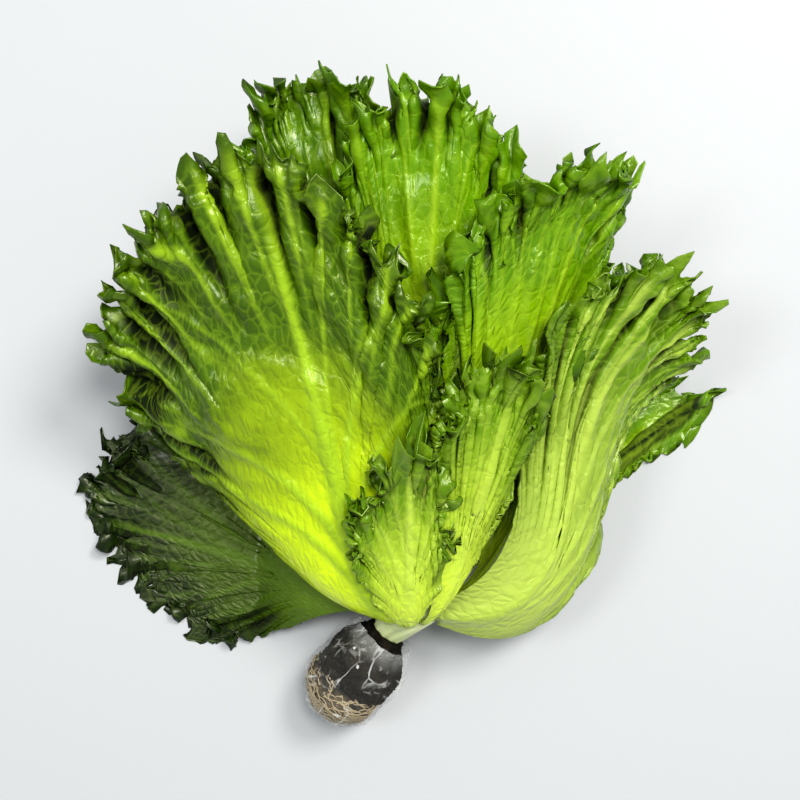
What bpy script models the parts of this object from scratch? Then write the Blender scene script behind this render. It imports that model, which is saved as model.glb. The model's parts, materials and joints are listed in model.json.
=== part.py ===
"""A lollo bionda lettuce lying on its side: a loose head of broad leaves with deeply ruffled margins,
a short pale stem, and the plug of peat and roots it was grown in, held in a thin clear film.

Metres, +Z up, the table at z = 0. The head's axis runs along +Y from the stem top, a little uphill.
Every leaf is a fan: u runs -1..1 across it and v runs 0..1 from its root to its margin."""

import math

import bmesh
import bpy
import numpy as np
from mathutils import Vector
from mathutils.bvhtree import BVHTree

for old in list(bpy.data.objects):
    bpy.data.objects.remove(old, do_unlink=True)

MM = 0.001

# Where the head stands on its table
STEM_TOP = (0.0074, -0.0886, 0.0360)
HEAD_TILT = math.radians(6.0)
FLAT_FAR = 0.46
FLAT_NEAR = 0.85
FLAT_FALL = 25 * MM
ROOT_RADIUS = 13.5 * MM
TOUCH = 0.4 * MM
TOUCH_SOFT = 4 * MM
SNAP = 0.15 * MM

# Blades
BLADE = 0.8
RIB_EXTRA = 2.2
RUFFLE_DEPTH = 32.0
LOBE = 4.0
SHARE_OF_GAP = 0.44
STEEPEST = 0.7

# Stem, plug and film
STEM_RADIUS = 12.3 * MM
PLUG_TOP = (-0.0025, -0.0990, 0.0285)
PLUG_END = (-0.0295, -0.1353, 0.0150)
PLUG_RADIUS = 18.5 * MM
PLUG_SPLIT = 0.60
FILM_GAP = 0.5 * MM
FILM_THICK = 0.7 * MM

# turn and wrap are degrees round the head's axis (0 is up, 90 is right); reach is millimetres from the
# stem top to the margin and lean degrees off the axis, each at five places across the leaf; root and fall
# say how the lean starts and how fast it settles; folds and height belong to the ruffle.
LEAVES = {
    "leaf_left": dict(turn=-27, wrap=(99, 40), reach=(102, 174, 246, 212, 112), lean=(54, 46, 36, 37, 34),
                      root=94, fall=47, share=0.45, folds=18, height=12, seed=3),
    "leaf_right": dict(turn=62, wrap=(24, 48), reach=(165, 190, 194, 172, 130), lean=(37, 38, 41, 45, 46),
                       root=68, root_rise=43, fall=76, power=2.6, share=0.5, open=1.1, folds=10, height=9, seed=5),
    "leaf_top": dict(turn=9, wrap=(44, 40), reach=(190, 230, 240, 218, 182), lean=(14, 17, 19, 20, 21),
                     root=46, fall=50, folds=10, height=10, seed=7),
    "leaf_slant": dict(turn=44, wrap=(33, 42), reach=(192, 226, 226, 206, 172), lean=(33, 32, 31, 29, 28),
                       root=62, fall=38, folds=10, height=9, seed=11),
    "leaf_top_left": dict(turn=-44, wrap=(46, 46), reach=(192, 230, 240, 230, 190), lean=(21, 17, 13, 12, 13),
                          root=34, fall=50, folds=10, height=10, seed=13),
    "leaf_front": dict(turn=0, wrap=(22, 16), reach=(70, 108, 124, 112, 76), lean=(47, 46, 45, 45, 45),
                       root=104, fall=44, folds=6, height=7, seed=17),
    "leaf_pale": dict(turn=26, wrap=(20, 10), reach=(128, 146, 152, 142, 124), lean=(42, 41, 40, 40, 40),
                      root=97, fall=44, folds=8, height=7, seed=19),
    "leaf_mid_left": dict(turn=-34, wrap=(38, 28), reach=(136, 168, 180, 164, 132), lean=(27, 26, 25, 24, 24),
                          root=58, fall=45, folds=8, height=8, seed=43),
    "leaf_mid_right": dict(turn=24, wrap=(24, 32), reach=(128, 158, 170, 156, 126), lean=(26, 26, 26, 25, 24),
                           root=55, fall=38, folds=8, height=7, seed=47),
    "leaf_far_left": dict(turn=-84, wrap=(40, 34), reach=(168, 192, 202, 198, 172), lean=(36, 34, 32, 31, 30),
                          root=67, fall=45, folds=8, height=9, seed=23),
    "leaf_far_right": dict(turn=94, wrap=(35, 32), reach=(150, 180, 188, 178, 148), lean=(34, 34, 35, 35, 35),
                           root=80, fall=45, folds=8, height=9, seed=29),
    "leaf_under_left": dict(turn=-75, wrap=(27, 25), reach=(108, 136, 180, 184, 168), lean=(31, 31, 31, 31, 31),
                            root=4, fall=45, root_turn=-80, folds=10, height=8, seed=31, laid=True),
    "leaf_under_right": dict(turn=53, wrap=(28, 5), reach=(108, 156, 188, 198, 187), lean=(30, 30, 30, 30, 30),
                             root=12, fall=38, root_turn=98, folds=4, height=7, seed=37, laid=True),
    "leaf_under_mid": dict(turn=172, wrap=(50, 56), reach=(150, 198, 214, 200, 156), lean=(32, 44, 55, 53, 50),
                           root=84, fall=42, folds=12, height=9, seed=41),
}

# The heart: the youngest leaves overlap into one coil round the axis, its margin notched between leaf tips
HEART = dict(turn=240, wrap=(220, 220), reach=(92, 104, 116, 124, 128), lean=(6.0, 7.2, 8.4, 9.5, 10.6),
             root=14, root_rise=16, fall=36, share=1.0, lobes=6, notch=0.08, folds=18, height=1.2, seed=66)

# Rows of a leaf from margin to root: v, and how many columns there are for each fold
ROWS = ((1.0, 2), (0.955, 2), (0.885, 2), (0.79, 2), (0.67, 1), (0.53, 1), (0.40, 1), (0.27, 0.5), (0.13, 0.5),
        (0.0, 0.5))


def smooth(x):
    x = np.clip(x, 0.0, 1.0)
    return x * x * (3 - 2 * x)


def blend(values, u):
    """Five values spaced evenly over u = -1..1, joined by a smooth curve."""
    t = (np.clip(u, -1, 1) + 1) * 2
    i = np.minimum(t.astype(int), 3)
    f = t - i
    w = np.array([2 * values[0] - values[1], *values, 2 * values[4] - values[3]], float)
    a, b, c, d = w[i], w[i + 1], w[i + 2], w[i + 3]
    return 0.5 * (2 * b + (c - a) * f + (2 * a - 5 * b + 4 * c - d) * f * f + (3 * b - a - 3 * c + d) * f ** 3)


def press(z):
    """Heights near or under the table come to rest on it, on a flat."""
    t = np.clip((z - TOUCH + TOUCH_SOFT) / (2 * TOUCH_SOFT), 0, 1)
    return np.where(z > TOUCH + TOUCH_SOFT, z, TOUCH + TOUCH_SOFT * t * t)


def head_place(rho, turn, lean):
    """A point at rho from the stem top, turned round the axis and leaning off it, in the flattened head."""
    flat = FLAT_FAR + (FLAT_NEAR - FLAT_FAR) * np.exp(-np.maximum(rho - ROOT_RADIUS, 0) / FLAT_FALL)
    x = rho * np.sin(lean) * np.sin(turn)
    y = rho * np.cos(lean)
    z = rho * np.sin(lean) * np.cos(turn) * flat
    yy = y * math.cos(HEAD_TILT) - z * math.sin(HEAD_TILT)
    zz = y * math.sin(HEAD_TILT) + z * math.cos(HEAD_TILT)
    return np.stack([x + STEM_TOP[0], yy + STEM_TOP[1], zz + STEM_TOP[2]], -1)


def reach_of(leaf, u):
    """Millimetres from the stem top to the margin, with notches where leaf tips overlap into one coil."""
    apart = 1 - np.abs(np.sin(leaf.get("lobes", 1) * math.pi * (u + 1) / 2))
    return blend(leaf["reach"], u) * (1 - leaf.get("notch", 0) * apart ** 1.5)


def unruffled(leaf, u, v):
    """The leaf's middle surface before its margin is ruffled."""
    reach = reach_of(leaf, u) * MM
    rho = ROOT_RADIUS + v * (reach - ROOT_RADIUS)
    share = leaf.get("share", 0.36)
    spread = share + (1 - share) * smooth(v / leaf.get("open", 0.65))
    wrap = np.where(u < 0, leaf["wrap"][0], leaf["wrap"][1])
    turn = np.radians(leaf["turn"] + u * wrap * spread)
    tip = blend(leaf["lean"], u)
    fade = np.exp(-(np.maximum(rho - ROOT_RADIUS, 0) / (leaf["fall"] * MM)) ** leaf.get("power", 1.0))
    root = leaf["root"] + leaf.get("root_rise", 0) * (u + 1) / 2
    lean = np.radians(tip + (root - tip) * fade)
    if leaf.get("laid"):
        turn = turn + np.radians(leaf["root_turn"] - leaf["turn"]) * fade
        x = rho * np.cos(lean) * np.sin(turn)
        y = rho * np.cos(lean) * np.cos(turn)
        z = -rho * np.sin(lean)
        p = np.stack([x + STEM_TOP[0], y + STEM_TOP[1], z + STEM_TOP[2]], -1)
    else:
        p = head_place(rho, turn, lean)
    p[..., 2] = press(p[..., 2])
    return p


def sway(x, seed, waves=4):
    """A smooth seeded wander of x within about -1..1."""
    rng = np.random.default_rng(seed)
    total = np.zeros_like(x)
    for k in range(waves):
        rate = 0.23 + 0.31 * k + 0.1 * rng.random()
        total = total + np.sin(rate * x * 2 * math.pi + rng.random() * 2 * math.pi)
    return total / waves ** 0.5 / 1.4


def across(leaf, p):
    """u of a place p along the margin, where each whole number of p is the top or the foot of a fold."""
    fine = np.linspace(-1, 1, 801)
    rim = unruffled(leaf, fine, np.ones_like(fine))
    run = np.concatenate([[0], np.cumsum(np.linalg.norm(np.diff(rim, axis=0), axis=1))])
    ends = np.sin(np.clip(p / (2 * leaf["folds"]), 0, 1) * math.pi)
    place = (p + 0.3 * sway(p * 0.5, leaf["seed"]) * smooth(ends * 4)) / (2 * leaf["folds"])
    return np.interp(place * run[-1], run, fine)


def directions(leaf, u, v):
    """Unit vectors out of the leaf's face, along its margin and towards its margin, and its length in mm."""
    e = 1e-3
    lo, hi = np.clip(u - e, -1, 1), np.clip(u + e, -1, 1)
    pu = (unruffled(leaf, hi, v) - unruffled(leaf, lo, v)) / (hi - lo)[..., None]
    lo, hi = np.clip(v - e, 0, 1), np.clip(v + e, 0, 1)
    pv = (unruffled(leaf, u, hi) - unruffled(leaf, u, lo)) / (hi - lo)[..., None]
    along = pu / np.linalg.norm(pu, axis=-1, keepdims=True)
    out = np.cross(pu, pv)
    out /= np.linalg.norm(out, axis=-1, keepdims=True)
    outward = np.cross(out, along)
    if leaf.get("laid"):
        out = -out
    return out, along, outward, reach_of(leaf, u) - ROOT_RADIUS / MM


def fold_width(leaf, p, v):
    """Metres from the top of a fold to its foot, measured square to the lines that the folds follow."""
    lo, hi = np.maximum(p - 0.4, 0), np.minimum(p + 0.4, 2 * leaf["folds"])
    step = (unruffled(leaf, across(leaf, hi), v) - unruffled(leaf, across(leaf, lo), v)) / (hi - lo)[..., None]
    u = across(leaf, p)
    line = unruffled(leaf, u, np.minimum(v + 0.02, 1)) - unruffled(leaf, u, np.minimum(v + 0.02, 1) - 0.04)
    line /= np.linalg.norm(line, axis=-1, keepdims=True)
    return np.linalg.norm(np.cross(step, line), axis=-1)


def ruffled(leaf, p, v, room, amount):
    """Middle surface with its folds. room is the half gap to the neighbours that it may fill."""
    u = across(leaf, p)
    rest = unruffled(leaf, u, v)
    out, along, outward, length = directions(leaf, u, v)
    inset = (1 - v) * length
    deep = RUFFLE_DEPTH * np.sqrt(length / max(leaf["reach"]))
    ends = 0.35 + 0.65 * smooth(np.sin(np.clip(p / (2 * leaf["folds"]), 0, 1) * math.pi) * 3)
    size = leaf["height"] * MM * ends * (1 + 0.3 * sway(p * 0.37, leaf["seed"] + 1))
    size = size * np.exp(-(inset / deep) ** 1.4) * amount
    steep = STEEPEST * fold_width(leaf, p, v)
    size = size / (1 + (size / np.maximum(steep, 1e-6)) ** 4) ** 0.25
    fold = np.cos(math.pi * p)
    lobe = LOBE * MM * fold * np.exp(-inset / 9.0) * amount
    move = out * (size * fold)[..., None] + outward * lobe[..., None]
    far = np.linalg.norm(move, axis=-1)
    limit = np.maximum(room, 1e-6)
    move = move / ((1 + (far / limit) ** 4) ** 0.25)[..., None]
    q = rest + move
    q[..., 2] = np.maximum(q[..., 2], TOUCH)
    return q


def leaf_grid(leaf, rows=ROWS):
    """Places p and v of each row's points."""
    grid = []
    for v, per_fold in rows:
        n = int(round(per_fold * leaf["folds"]))
        grid.append((np.linspace(0, 2 * leaf["folds"], n + 1), np.full(n + 1, v), per_fold))
    return grid


def row_faces(points, upper, lower):
    """Triangles between a row and the next one in, which has as many columns or half as many."""
    faces = []
    n, m = len(upper) - 1, len(lower) - 1
    if n == m:
        for k in range(n):
            a, b, c, d = upper[k], upper[k + 1], lower[k + 1], lower[k]
            if np.linalg.norm(points[a] - points[c]) < np.linalg.norm(points[b] - points[d]):
                faces += [(a, b, c), (a, c, d)]
            else:
                faces += [(a, b, d), (b, c, d)]
    else:
        for k in range(m):
            a, b, c = upper[2 * k], upper[2 * k + 1], upper[2 * k + 2]
            faces += [(a, b, lower[k]), (b, lower[k + 1], lower[k]), (b, c, lower[k + 1])]
    return faces


def sheet(points, half, rows, faces):
    """Closes a sheet of triangles into a body: both faces alike, joined round the edge."""
    points = np.array(points)
    tri = np.array(faces)
    flat = np.cross(points[tri[:, 1]] - points[tri[:, 0]], points[tri[:, 2]] - points[tri[:, 0]])
    flat /= np.linalg.norm(flat, axis=1, keepdims=True)
    at = np.zeros_like(points)
    for k in range(3):
        np.add.at(at, tri[:, k], flat)
    at /= np.linalg.norm(at, axis=1, keepdims=True)
    touching = [[] for _ in points]
    for k, corners in enumerate(tri):
        for c in corners:
            touching[c].append(k)
    facing = np.ones(len(points))
    for i, near in enumerate(touching):
        direction = at[i]
        for turn in range(40):
            dots = flat[near] @ direction
            worst = int(np.argmin(dots))
            direction = direction + flat[near][worst] * 0.5 / (turn + 2)
            direction /= np.linalg.norm(direction)
        at[i] = direction
        facing[i] = np.min(flat[near] @ direction)
    half = half / np.clip(facing, 0.5, 1.0)
    top = points + at * half[:, None]
    low = points - at * half[:, None]
    for side in (top, low):
        side[:, 2] = np.where(side[:, 2] < SNAP, 0, side[:, 2])
    count = len(points)
    ring = list(rows[0]) + [r[-1] for r in rows[1:]] + list(rows[-1])[-2::-1] + [r[0] for r in rows[-2:0:-1]]
    body = [tuple(f) for f in tri] + [(c + count, b + count, a + count) for a, b, c in tri]
    for a, b in zip(ring, ring[1:] + ring[:1]):
        body += [(b, a, a + count), (b, a + count, b + count)]
    return np.concatenate([top, low]), body


def make_object(name, points, faces, material):
    mesh = bpy.data.meshes.new(name)
    mesh.from_pydata([tuple(map(float, p)) for p in points], [], [tuple(map(int, f)) for f in faces])
    bm = bmesh.new()
    bm.from_mesh(mesh)
    if bm.calc_volume(signed=True) < 0:
        bmesh.ops.reverse_faces(bm, faces=bm.faces)
    bm.to_mesh(mesh)
    bm.free()
    mesh.validate()
    obj = bpy.data.objects.new(name, mesh)
    bpy.context.scene.collection.objects.link(obj)
    if material:
        mesh.materials.append(material)
    return obj


def material(name, colour, rough, alpha=1.0, transmission=0.0):
    made = bpy.data.materials.new(name)
    made.use_nodes = True
    shader = made.node_tree.nodes["Principled BSDF"]
    shader.inputs["Base Color"].default_value = (*colour, 1.0)
    shader.inputs["Roughness"].default_value = rough
    shader.inputs["Alpha"].default_value = alpha
    shader.inputs["Transmission Weight"].default_value = transmission
    made.diffuse_color = (*colour, alpha)
    return made


def tree_of(names, table):
    """A search tree over the unruffled faces of the named leaves."""
    points, faces = [], []
    for name in names:
        u, v = np.meshgrid(np.linspace(-1, 1, 33), np.linspace(0, 1, 25))
        start = len(points)
        points += [tuple(p) for p in unruffled(table[name], u.ravel(), v.ravel())]
        for j in range(24):
            for i in range(32):
                a = start + j * 33 + i
                faces += [(a, a + 1, a + 34), (a, a + 34, a + 33)]
    return BVHTree.FromPolygons(points, faces)


def gaps(points, tree):
    return np.array([tree.find_nearest(Vector(p))[3] for p in points])


def thickness(u, v):
    """Half the blade's thickness: a stout midrib at the root, thin at the margin."""
    rib = 0.35 + 0.65 * np.exp(-(u / 0.4) ** 2)
    return 0.5 * MM * (BLADE + RIB_EXTRA * (1 - v) ** 1.6 * rib)


def leaf_body(leaf, tree, rows=ROWS, coil_gap=None):
    """Points and triangles of one closed leaf that keeps to its share of the room between its neighbours."""
    points, half, index, faces = [], [], [], []
    for p, v, per_fold in leaf_grid(leaf, rows):
        u = across(leaf, p)
        rest = unruffled(leaf, u, v)
        gap = gaps(rest, tree)
        if coil_gap:
            gap = np.minimum(gap, coil_gap * np.linalg.norm(rest - np.array(STEM_TOP), axis=-1))
        thick = np.minimum(thickness(u, v), np.maximum(0.33 * gap, 0.31 * MM))
        room = np.maximum(SHARE_OF_GAP * gap - thick * (1.8 if coil_gap else 1.0), 0)
        index.append(list(range(len(points), len(points) + len(p))))
        points += list(ruffled(leaf, p, v, room, 1.0 if per_fold == rows[0][1] else 0.0))
        half += list(thick)
    for upper, lower in zip(index, index[1:]):
        faces += row_faces(points, upper, lower)
    return sheet(points, np.array(half), index, faces)


GREENS = {
    "leaf_left": (0.26, 0.42, 0.03), "leaf_right": (0.30, 0.46, 0.05), "leaf_top": (0.22, 0.38, 0.03),
    "leaf_slant": (0.24, 0.42, 0.04), "leaf_top_left": (0.17, 0.30, 0.02), "leaf_front": (0.32, 0.50, 0.05),
    "leaf_pale": (0.36, 0.54, 0.10), "leaf_mid_left": (0.18, 0.32, 0.02), "leaf_mid_right": (0.16, 0.30, 0.02),
    "leaf_far_left": (0.07, 0.16, 0.02), "leaf_far_right": (0.08, 0.18, 0.02),
    "leaf_under_left": (0.05, 0.13, 0.02), "leaf_under_right": (0.10, 0.20, 0.02),
    "leaf_under_mid": (0.09, 0.19, 0.02),
}

for name, leaf in LEAVES.items():
    others = tree_of([n for n in LEAVES if n != name], LEAVES)
    points, faces = leaf_body(leaf, others)
    make_object(name, points, faces, material(name, GREENS[name], 0.4))


everything = tree_of(list(LEAVES), LEAVES)
coil_step = math.radians((HEART["lean"][4] - HEART["lean"][0]) * 360 / (HEART["wrap"][0] * 2))
points, faces = leaf_body(HEART, everything, coil_gap=coil_step * FLAT_FAR)
make_object("heart", points, faces, material("heart", (0.30, 0.46, 0.06), 0.4))


def ringed(rings):
    """A closed body from rings of points, its two ends closed to their middles."""
    points = [p for ring in rings for p in ring]
    n = len(rings[0])
    faces = []
    for j in range(len(rings) - 1):
        for i in range(n):
            a, b = j * n + i, j * n + (i + 1) % n
            faces += [(a, b, b + n), (a, b + n, a + n)]
    first, last = len(points), len(points) + 1
    points += [np.mean(rings[0], axis=0), np.mean(rings[-1], axis=0)]
    base = (len(rings) - 1) * n
    for i in range(n):
        faces += [(i, first, (i + 1) % n), (base + i, base + (i + 1) % n, last)]
    return points, faces


# The stem: a rounded crown that the leaves spring from, narrowing to a neck above the plug
def unit(v):
    v = np.array(v, float)
    return v / np.linalg.norm(v)


def plug_frame():
    axis = unit(np.array(PLUG_END) - np.array(PLUG_TOP))
    side = unit(np.cross((0, 0, 1), axis))
    return axis, side, np.cross(axis, side)


AXIS, SIDE, RISE = plug_frame()
SEGMENTS = 24
around = np.linspace(0, 2 * math.pi, SEGMENTS, endpoint=False)


def crown_ring(lean_deg, radius):
    lean = math.radians(lean_deg)
    return head_place(np.full(SEGMENTS, radius), around, np.full(SEGMENTS, lean))


rings = [crown_ring(a, STEM_RADIUS) for a in (14, 32, 52, 72, 92, 108)]
neck_top = rings[-1]
for s, radius in ((0.5, 8.6 * MM), (1.0, 7.4 * MM)):
    centre = np.array(STEM_TOP) + (np.array(PLUG_TOP) - AXIS * 0.6 * MM - np.array(STEM_TOP)) * (0.45 + 0.55 * s)
    ring = [centre + radius * (math.cos(a) * RISE + math.sin(a) * SIDE) for a in around]
    rings.append(np.array(ring))
points, faces = ringed(rings)
make_object("stem", points, faces, material("stem", (0.55, 0.66, 0.28), 0.45))


# The plug: peat in its upper part, matted roots round its lower end, lying in a clear film
def plug_radius(s, angle, grow):
    """Radius of the plug at s along it: narrow at the neck, full, rounded off at the end."""
    shoulder = 0.52 + 0.48 * smooth(np.array(s / 0.35))
    end = np.sqrt(np.clip(1 - ((s - 0.72) / 0.36) ** 2, 0.05, 1)) if s > 0.72 else 1.0
    lumps = 1 + 0.035 * np.sin(3 * angle + 9 * s) + 0.025 * np.sin(5 * angle - 14 * s + 1)
    return PLUG_RADIUS * float(shoulder) * float(end) * lumps + grow


def plug_ring(s, grow, floor):
    centre = np.array(PLUG_TOP) + (np.array(PLUG_END) - np.array(PLUG_TOP)) * s
    radius = plug_radius(s, around, grow)
    ring = centre + radius[:, None] * (np.cos(around)[:, None] * RISE + np.sin(around)[:, None] * SIDE)
    ring[:, 2] = np.maximum(ring[:, 2], floor)
    return ring


INSIDE_FLOOR = FILM_THICK + FILM_GAP
peat = [plug_ring(s, 0, INSIDE_FLOOR) for s in np.linspace(0.0, PLUG_SPLIT - 0.006, 6)]
points, faces = ringed(peat)
make_object("peat_plug", points, faces, material("peat_plug", (0.035, 0.03, 0.022), 0.9))
mat_rings = [plug_ring(s, 0, INSIDE_FLOOR) for s in (PLUG_SPLIT + 0.006, 0.72, 0.84, 0.94, 1.02)]
points, faces = ringed(mat_rings)
make_object("root_mat", points, faces, material("root_mat", (0.36, 0.30, 0.19), 0.85))


def film_ring(s, grow, floor):
    """A ring of the film, pleated round the plug and standing looser at its open mouth."""
    loose = 1.4 * MM * smooth(np.array((0.3 - s) / 0.3))
    pleat = 0.7 * MM * (1 + np.cos(around * SEGMENTS / 2))
    return plug_ring(s, grow + loose + pleat, floor)


stations = (0.02, 0.16, 0.32, 0.50, 0.68, 0.82, 0.93, 1.02)
inner = [film_ring(s, FILM_GAP * 1.6, INSIDE_FLOOR - 0.5 * FILM_GAP) for s in stations]
outer = [film_ring(s, FILM_GAP * 1.6 + FILM_THICK, 0.0) for s in stations]
inner.append(inner[-1] * 0.5 + np.mean(inner[-1], axis=0) * 0.5 + AXIS * 1.2 * MM)
outer.append(outer[-1] * 0.5 + np.mean(outer[-1], axis=0) * 0.5 + AXIS * (1.2 * MM + FILM_THICK))
outer[-2] = outer[-2] + AXIS * FILM_THICK
for ring in (inner[-1], outer[-1], outer[-2]):
    ring[:, 2] = np.maximum(ring[:, 2], 0)
film_points = [p for ring in outer for p in ring] + [p for ring in inner for p in ring]
n = SEGMENTS
depth = len(outer)
film_faces = []
for j in range(depth - 1):
    for i in range(n):
        a, b = j * n + i, j * n + (i + 1) % n
        film_faces += [(a, b, b + n), (a, b + n, a + n)]
        c, d = a + depth * n, b + depth * n
        film_faces += [(c, d + n, d), (c, c + n, d + n)]
for i in range(n):
    a, b = i, (i + 1) % n
    film_faces += [(b, a, a + depth * n), (b, a + depth * n, b + depth * n)]
film_points += [np.mean(outer[-1], axis=0), np.mean(inner[-1], axis=0)]
centre_out, centre_in = len(film_points) - 2, len(film_points) - 1
for i in range(n):
    a, b = (depth - 1) * n + i, (depth - 1) * n + (i + 1) % n
    film_faces += [(a, b, centre_out), (a + depth * n, centre_in, b + depth * n)]
make_object("film_wrap", film_points, film_faces, material("film_wrap", (0.9, 0.92, 0.92), 0.12, 0.35, 0.6))

for obj in sorted(bpy.data.objects, key=lambda o: o.name):
    print(obj.name, len(obj.data.polygons), "faces")
print("total", sum(len(o.data.polygons) for o in bpy.data.objects))
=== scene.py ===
# %% [markdown]
# # A lollo bionda lettuce on a white table
# The packed solids already give each leaf its place, its reach and the count of its folds. This lesson
# dresses them: each leaf gets its curled, toothed margin, its ribs and its juicy colour, and the plug gets
# peat, roots and a crinkled clear film. Everything is in metres, with the table at z = 0.

# %% Load the packed model
import json
import math
from types import SimpleNamespace

import bmesh
import bpy
import numpy as np
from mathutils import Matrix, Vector
from mathutils.bvhtree import BVHTree

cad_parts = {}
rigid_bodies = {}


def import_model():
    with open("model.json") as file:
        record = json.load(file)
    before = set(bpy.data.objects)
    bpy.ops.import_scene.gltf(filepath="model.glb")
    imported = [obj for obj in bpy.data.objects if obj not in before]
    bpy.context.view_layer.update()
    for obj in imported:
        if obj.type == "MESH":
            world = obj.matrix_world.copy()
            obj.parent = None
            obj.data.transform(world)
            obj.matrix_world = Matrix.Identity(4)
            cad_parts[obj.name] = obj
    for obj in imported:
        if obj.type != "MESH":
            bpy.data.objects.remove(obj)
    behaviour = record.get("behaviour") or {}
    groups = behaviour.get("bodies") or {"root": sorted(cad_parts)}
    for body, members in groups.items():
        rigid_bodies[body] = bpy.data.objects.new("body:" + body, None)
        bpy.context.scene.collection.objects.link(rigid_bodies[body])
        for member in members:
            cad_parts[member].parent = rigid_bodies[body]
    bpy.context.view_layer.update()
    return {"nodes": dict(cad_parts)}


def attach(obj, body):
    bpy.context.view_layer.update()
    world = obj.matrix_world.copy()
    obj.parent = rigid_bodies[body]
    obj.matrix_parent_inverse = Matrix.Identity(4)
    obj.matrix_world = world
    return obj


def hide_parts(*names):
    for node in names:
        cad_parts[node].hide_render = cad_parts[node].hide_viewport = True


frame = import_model()
MM = 0.001
print("nodes:", sorted(frame["nodes"]))

# %% [markdown]
# ## The camera
# The photograph looks straight down on the head from about two thirds of a metre. A camera is often
# matched by straight lines that meet far away, but a head of leaves has none. So it simply hangs over the
# middle of the head, level, with the stem end towards the bottom of the picture.

# %% Camera over the head
camera = bpy.data.objects.new("camera", bpy.data.cameras.new("camera"))
bpy.context.scene.collection.objects.link(camera)
camera.data.lens = 60
camera.data.sensor_width = 36
camera.location = (0.0034, 0.0064, 0.633)
camera.rotation_euler = (0, 0, 0)
bpy.context.scene.camera = camera
print("camera", tuple(round(c, 4) for c in camera.location), "lens", camera.data.lens)

# %% [markdown]
# ## The table
# The lettuce lies on a plain white surface. A backdrop that curves up behind would hide the horizon, but
# from straight above there is none, so one large flat face is enough.

# %% Table
floor_mesh = bpy.data.meshes.new("table")
floor_mesh.from_pydata([(-2, -2, 0), (2, -2, 0), (2, 2, 0), (-2, 2, 0)], [], [(0, 1, 2, 3)])
table = bpy.data.objects.new("table", floor_mesh)
bpy.context.scene.collection.objects.link(table)
table_paint = bpy.data.materials.new("table_paint")
table_paint.use_nodes = True
table_shader = table_paint.node_tree.nodes["Principled BSDF"]
table_shader.inputs["Base Color"].default_value = (0.518, 0.529, 0.536, 1)
table_shader.inputs["Roughness"].default_value = 0.55
floor_mesh.materials.append(table_paint)
print("table", tuple(table.dimensions))


# %% [markdown]
# ## The light
# Soft daylight falls from the upper right and leaves short, faint shadows. A wide disk stands for the
# window, a smaller one nearly overhead picks out the ruffles, a weak one fills from the left, and a pale
# even sky keeps the table close to white. An image of a sky could do all of this at once, but a few lamps
# are easier to steer and need no file.

# %% Lights
def soft_light(name, place, aim, size, power, tint):
    lamp = bpy.data.lights.new(name, "AREA")
    lamp.shape = "DISK"
    lamp.size = size
    lamp.energy = power
    lamp.color = tint
    holder = bpy.data.objects.new(name, lamp)
    holder.location = place
    holder.rotation_euler = (Vector(place) - Vector(aim)).to_track_quat("Z", "Y").to_euler()
    bpy.context.scene.collection.objects.link(holder)
    return holder


HEAD_MIDDLE = (0, 0, 0.03)
LAMPS = [
    soft_light("window", (1.15, 1.15, 2.1), HEAD_MIDDLE, 0.8, 38, (1.0, 0.985, 0.95)),
    soft_light("overhead", (0.25, 0.35, 1.5), HEAD_MIDDLE, 0.45, 11, (1.0, 1.0, 0.98)),
    soft_light("fill", (-1.0, 0.2, 1.8), HEAD_MIDDLE, 0.6, 9, (0.97, 0.99, 1.0)),
]
sky = bpy.data.worlds.new("sky")
sky.use_nodes = True
sky.node_tree.nodes["Background"].inputs["Color"].default_value = (0.93, 0.97, 1.0, 1)
sky.node_tree.nodes["Background"].inputs["Strength"].default_value = 0.37
bpy.context.scene.world = sky
bpy.context.scene.view_settings.view_transform = "Standard"
bpy.context.scene.view_settings.look = "Medium High Contrast"
print("lamps:", [(lamp.name, lamp.data.energy) for lamp in LAMPS])

# %% [markdown]
# ## How a leaf is placed
# A leaf is a fan. Across it runs u from -1 to 1, along it runs v from 0 at the root to 1 at the margin.
# Each point is given by its distance from the stem top, its turn round the head's axis and its lean off
# that axis. Leaves could be bent into place one by one, but in these squashed polar coordinates they nest
# inside each other without crossing. The numbers are the ones the solids were built with.

# %% Sizes of the head
STEM_TOP = (0.0074, -0.0886, 0.0360)
HEAD_TILT = math.radians(6.0)
FLAT_FAR = 0.46
FLAT_NEAR = 0.85
FLAT_FALL = 25 * MM
ROOT_RADIUS = 13.5 * MM
TOUCH = 0.4 * MM
TOUCH_SOFT = 4 * MM

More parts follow.
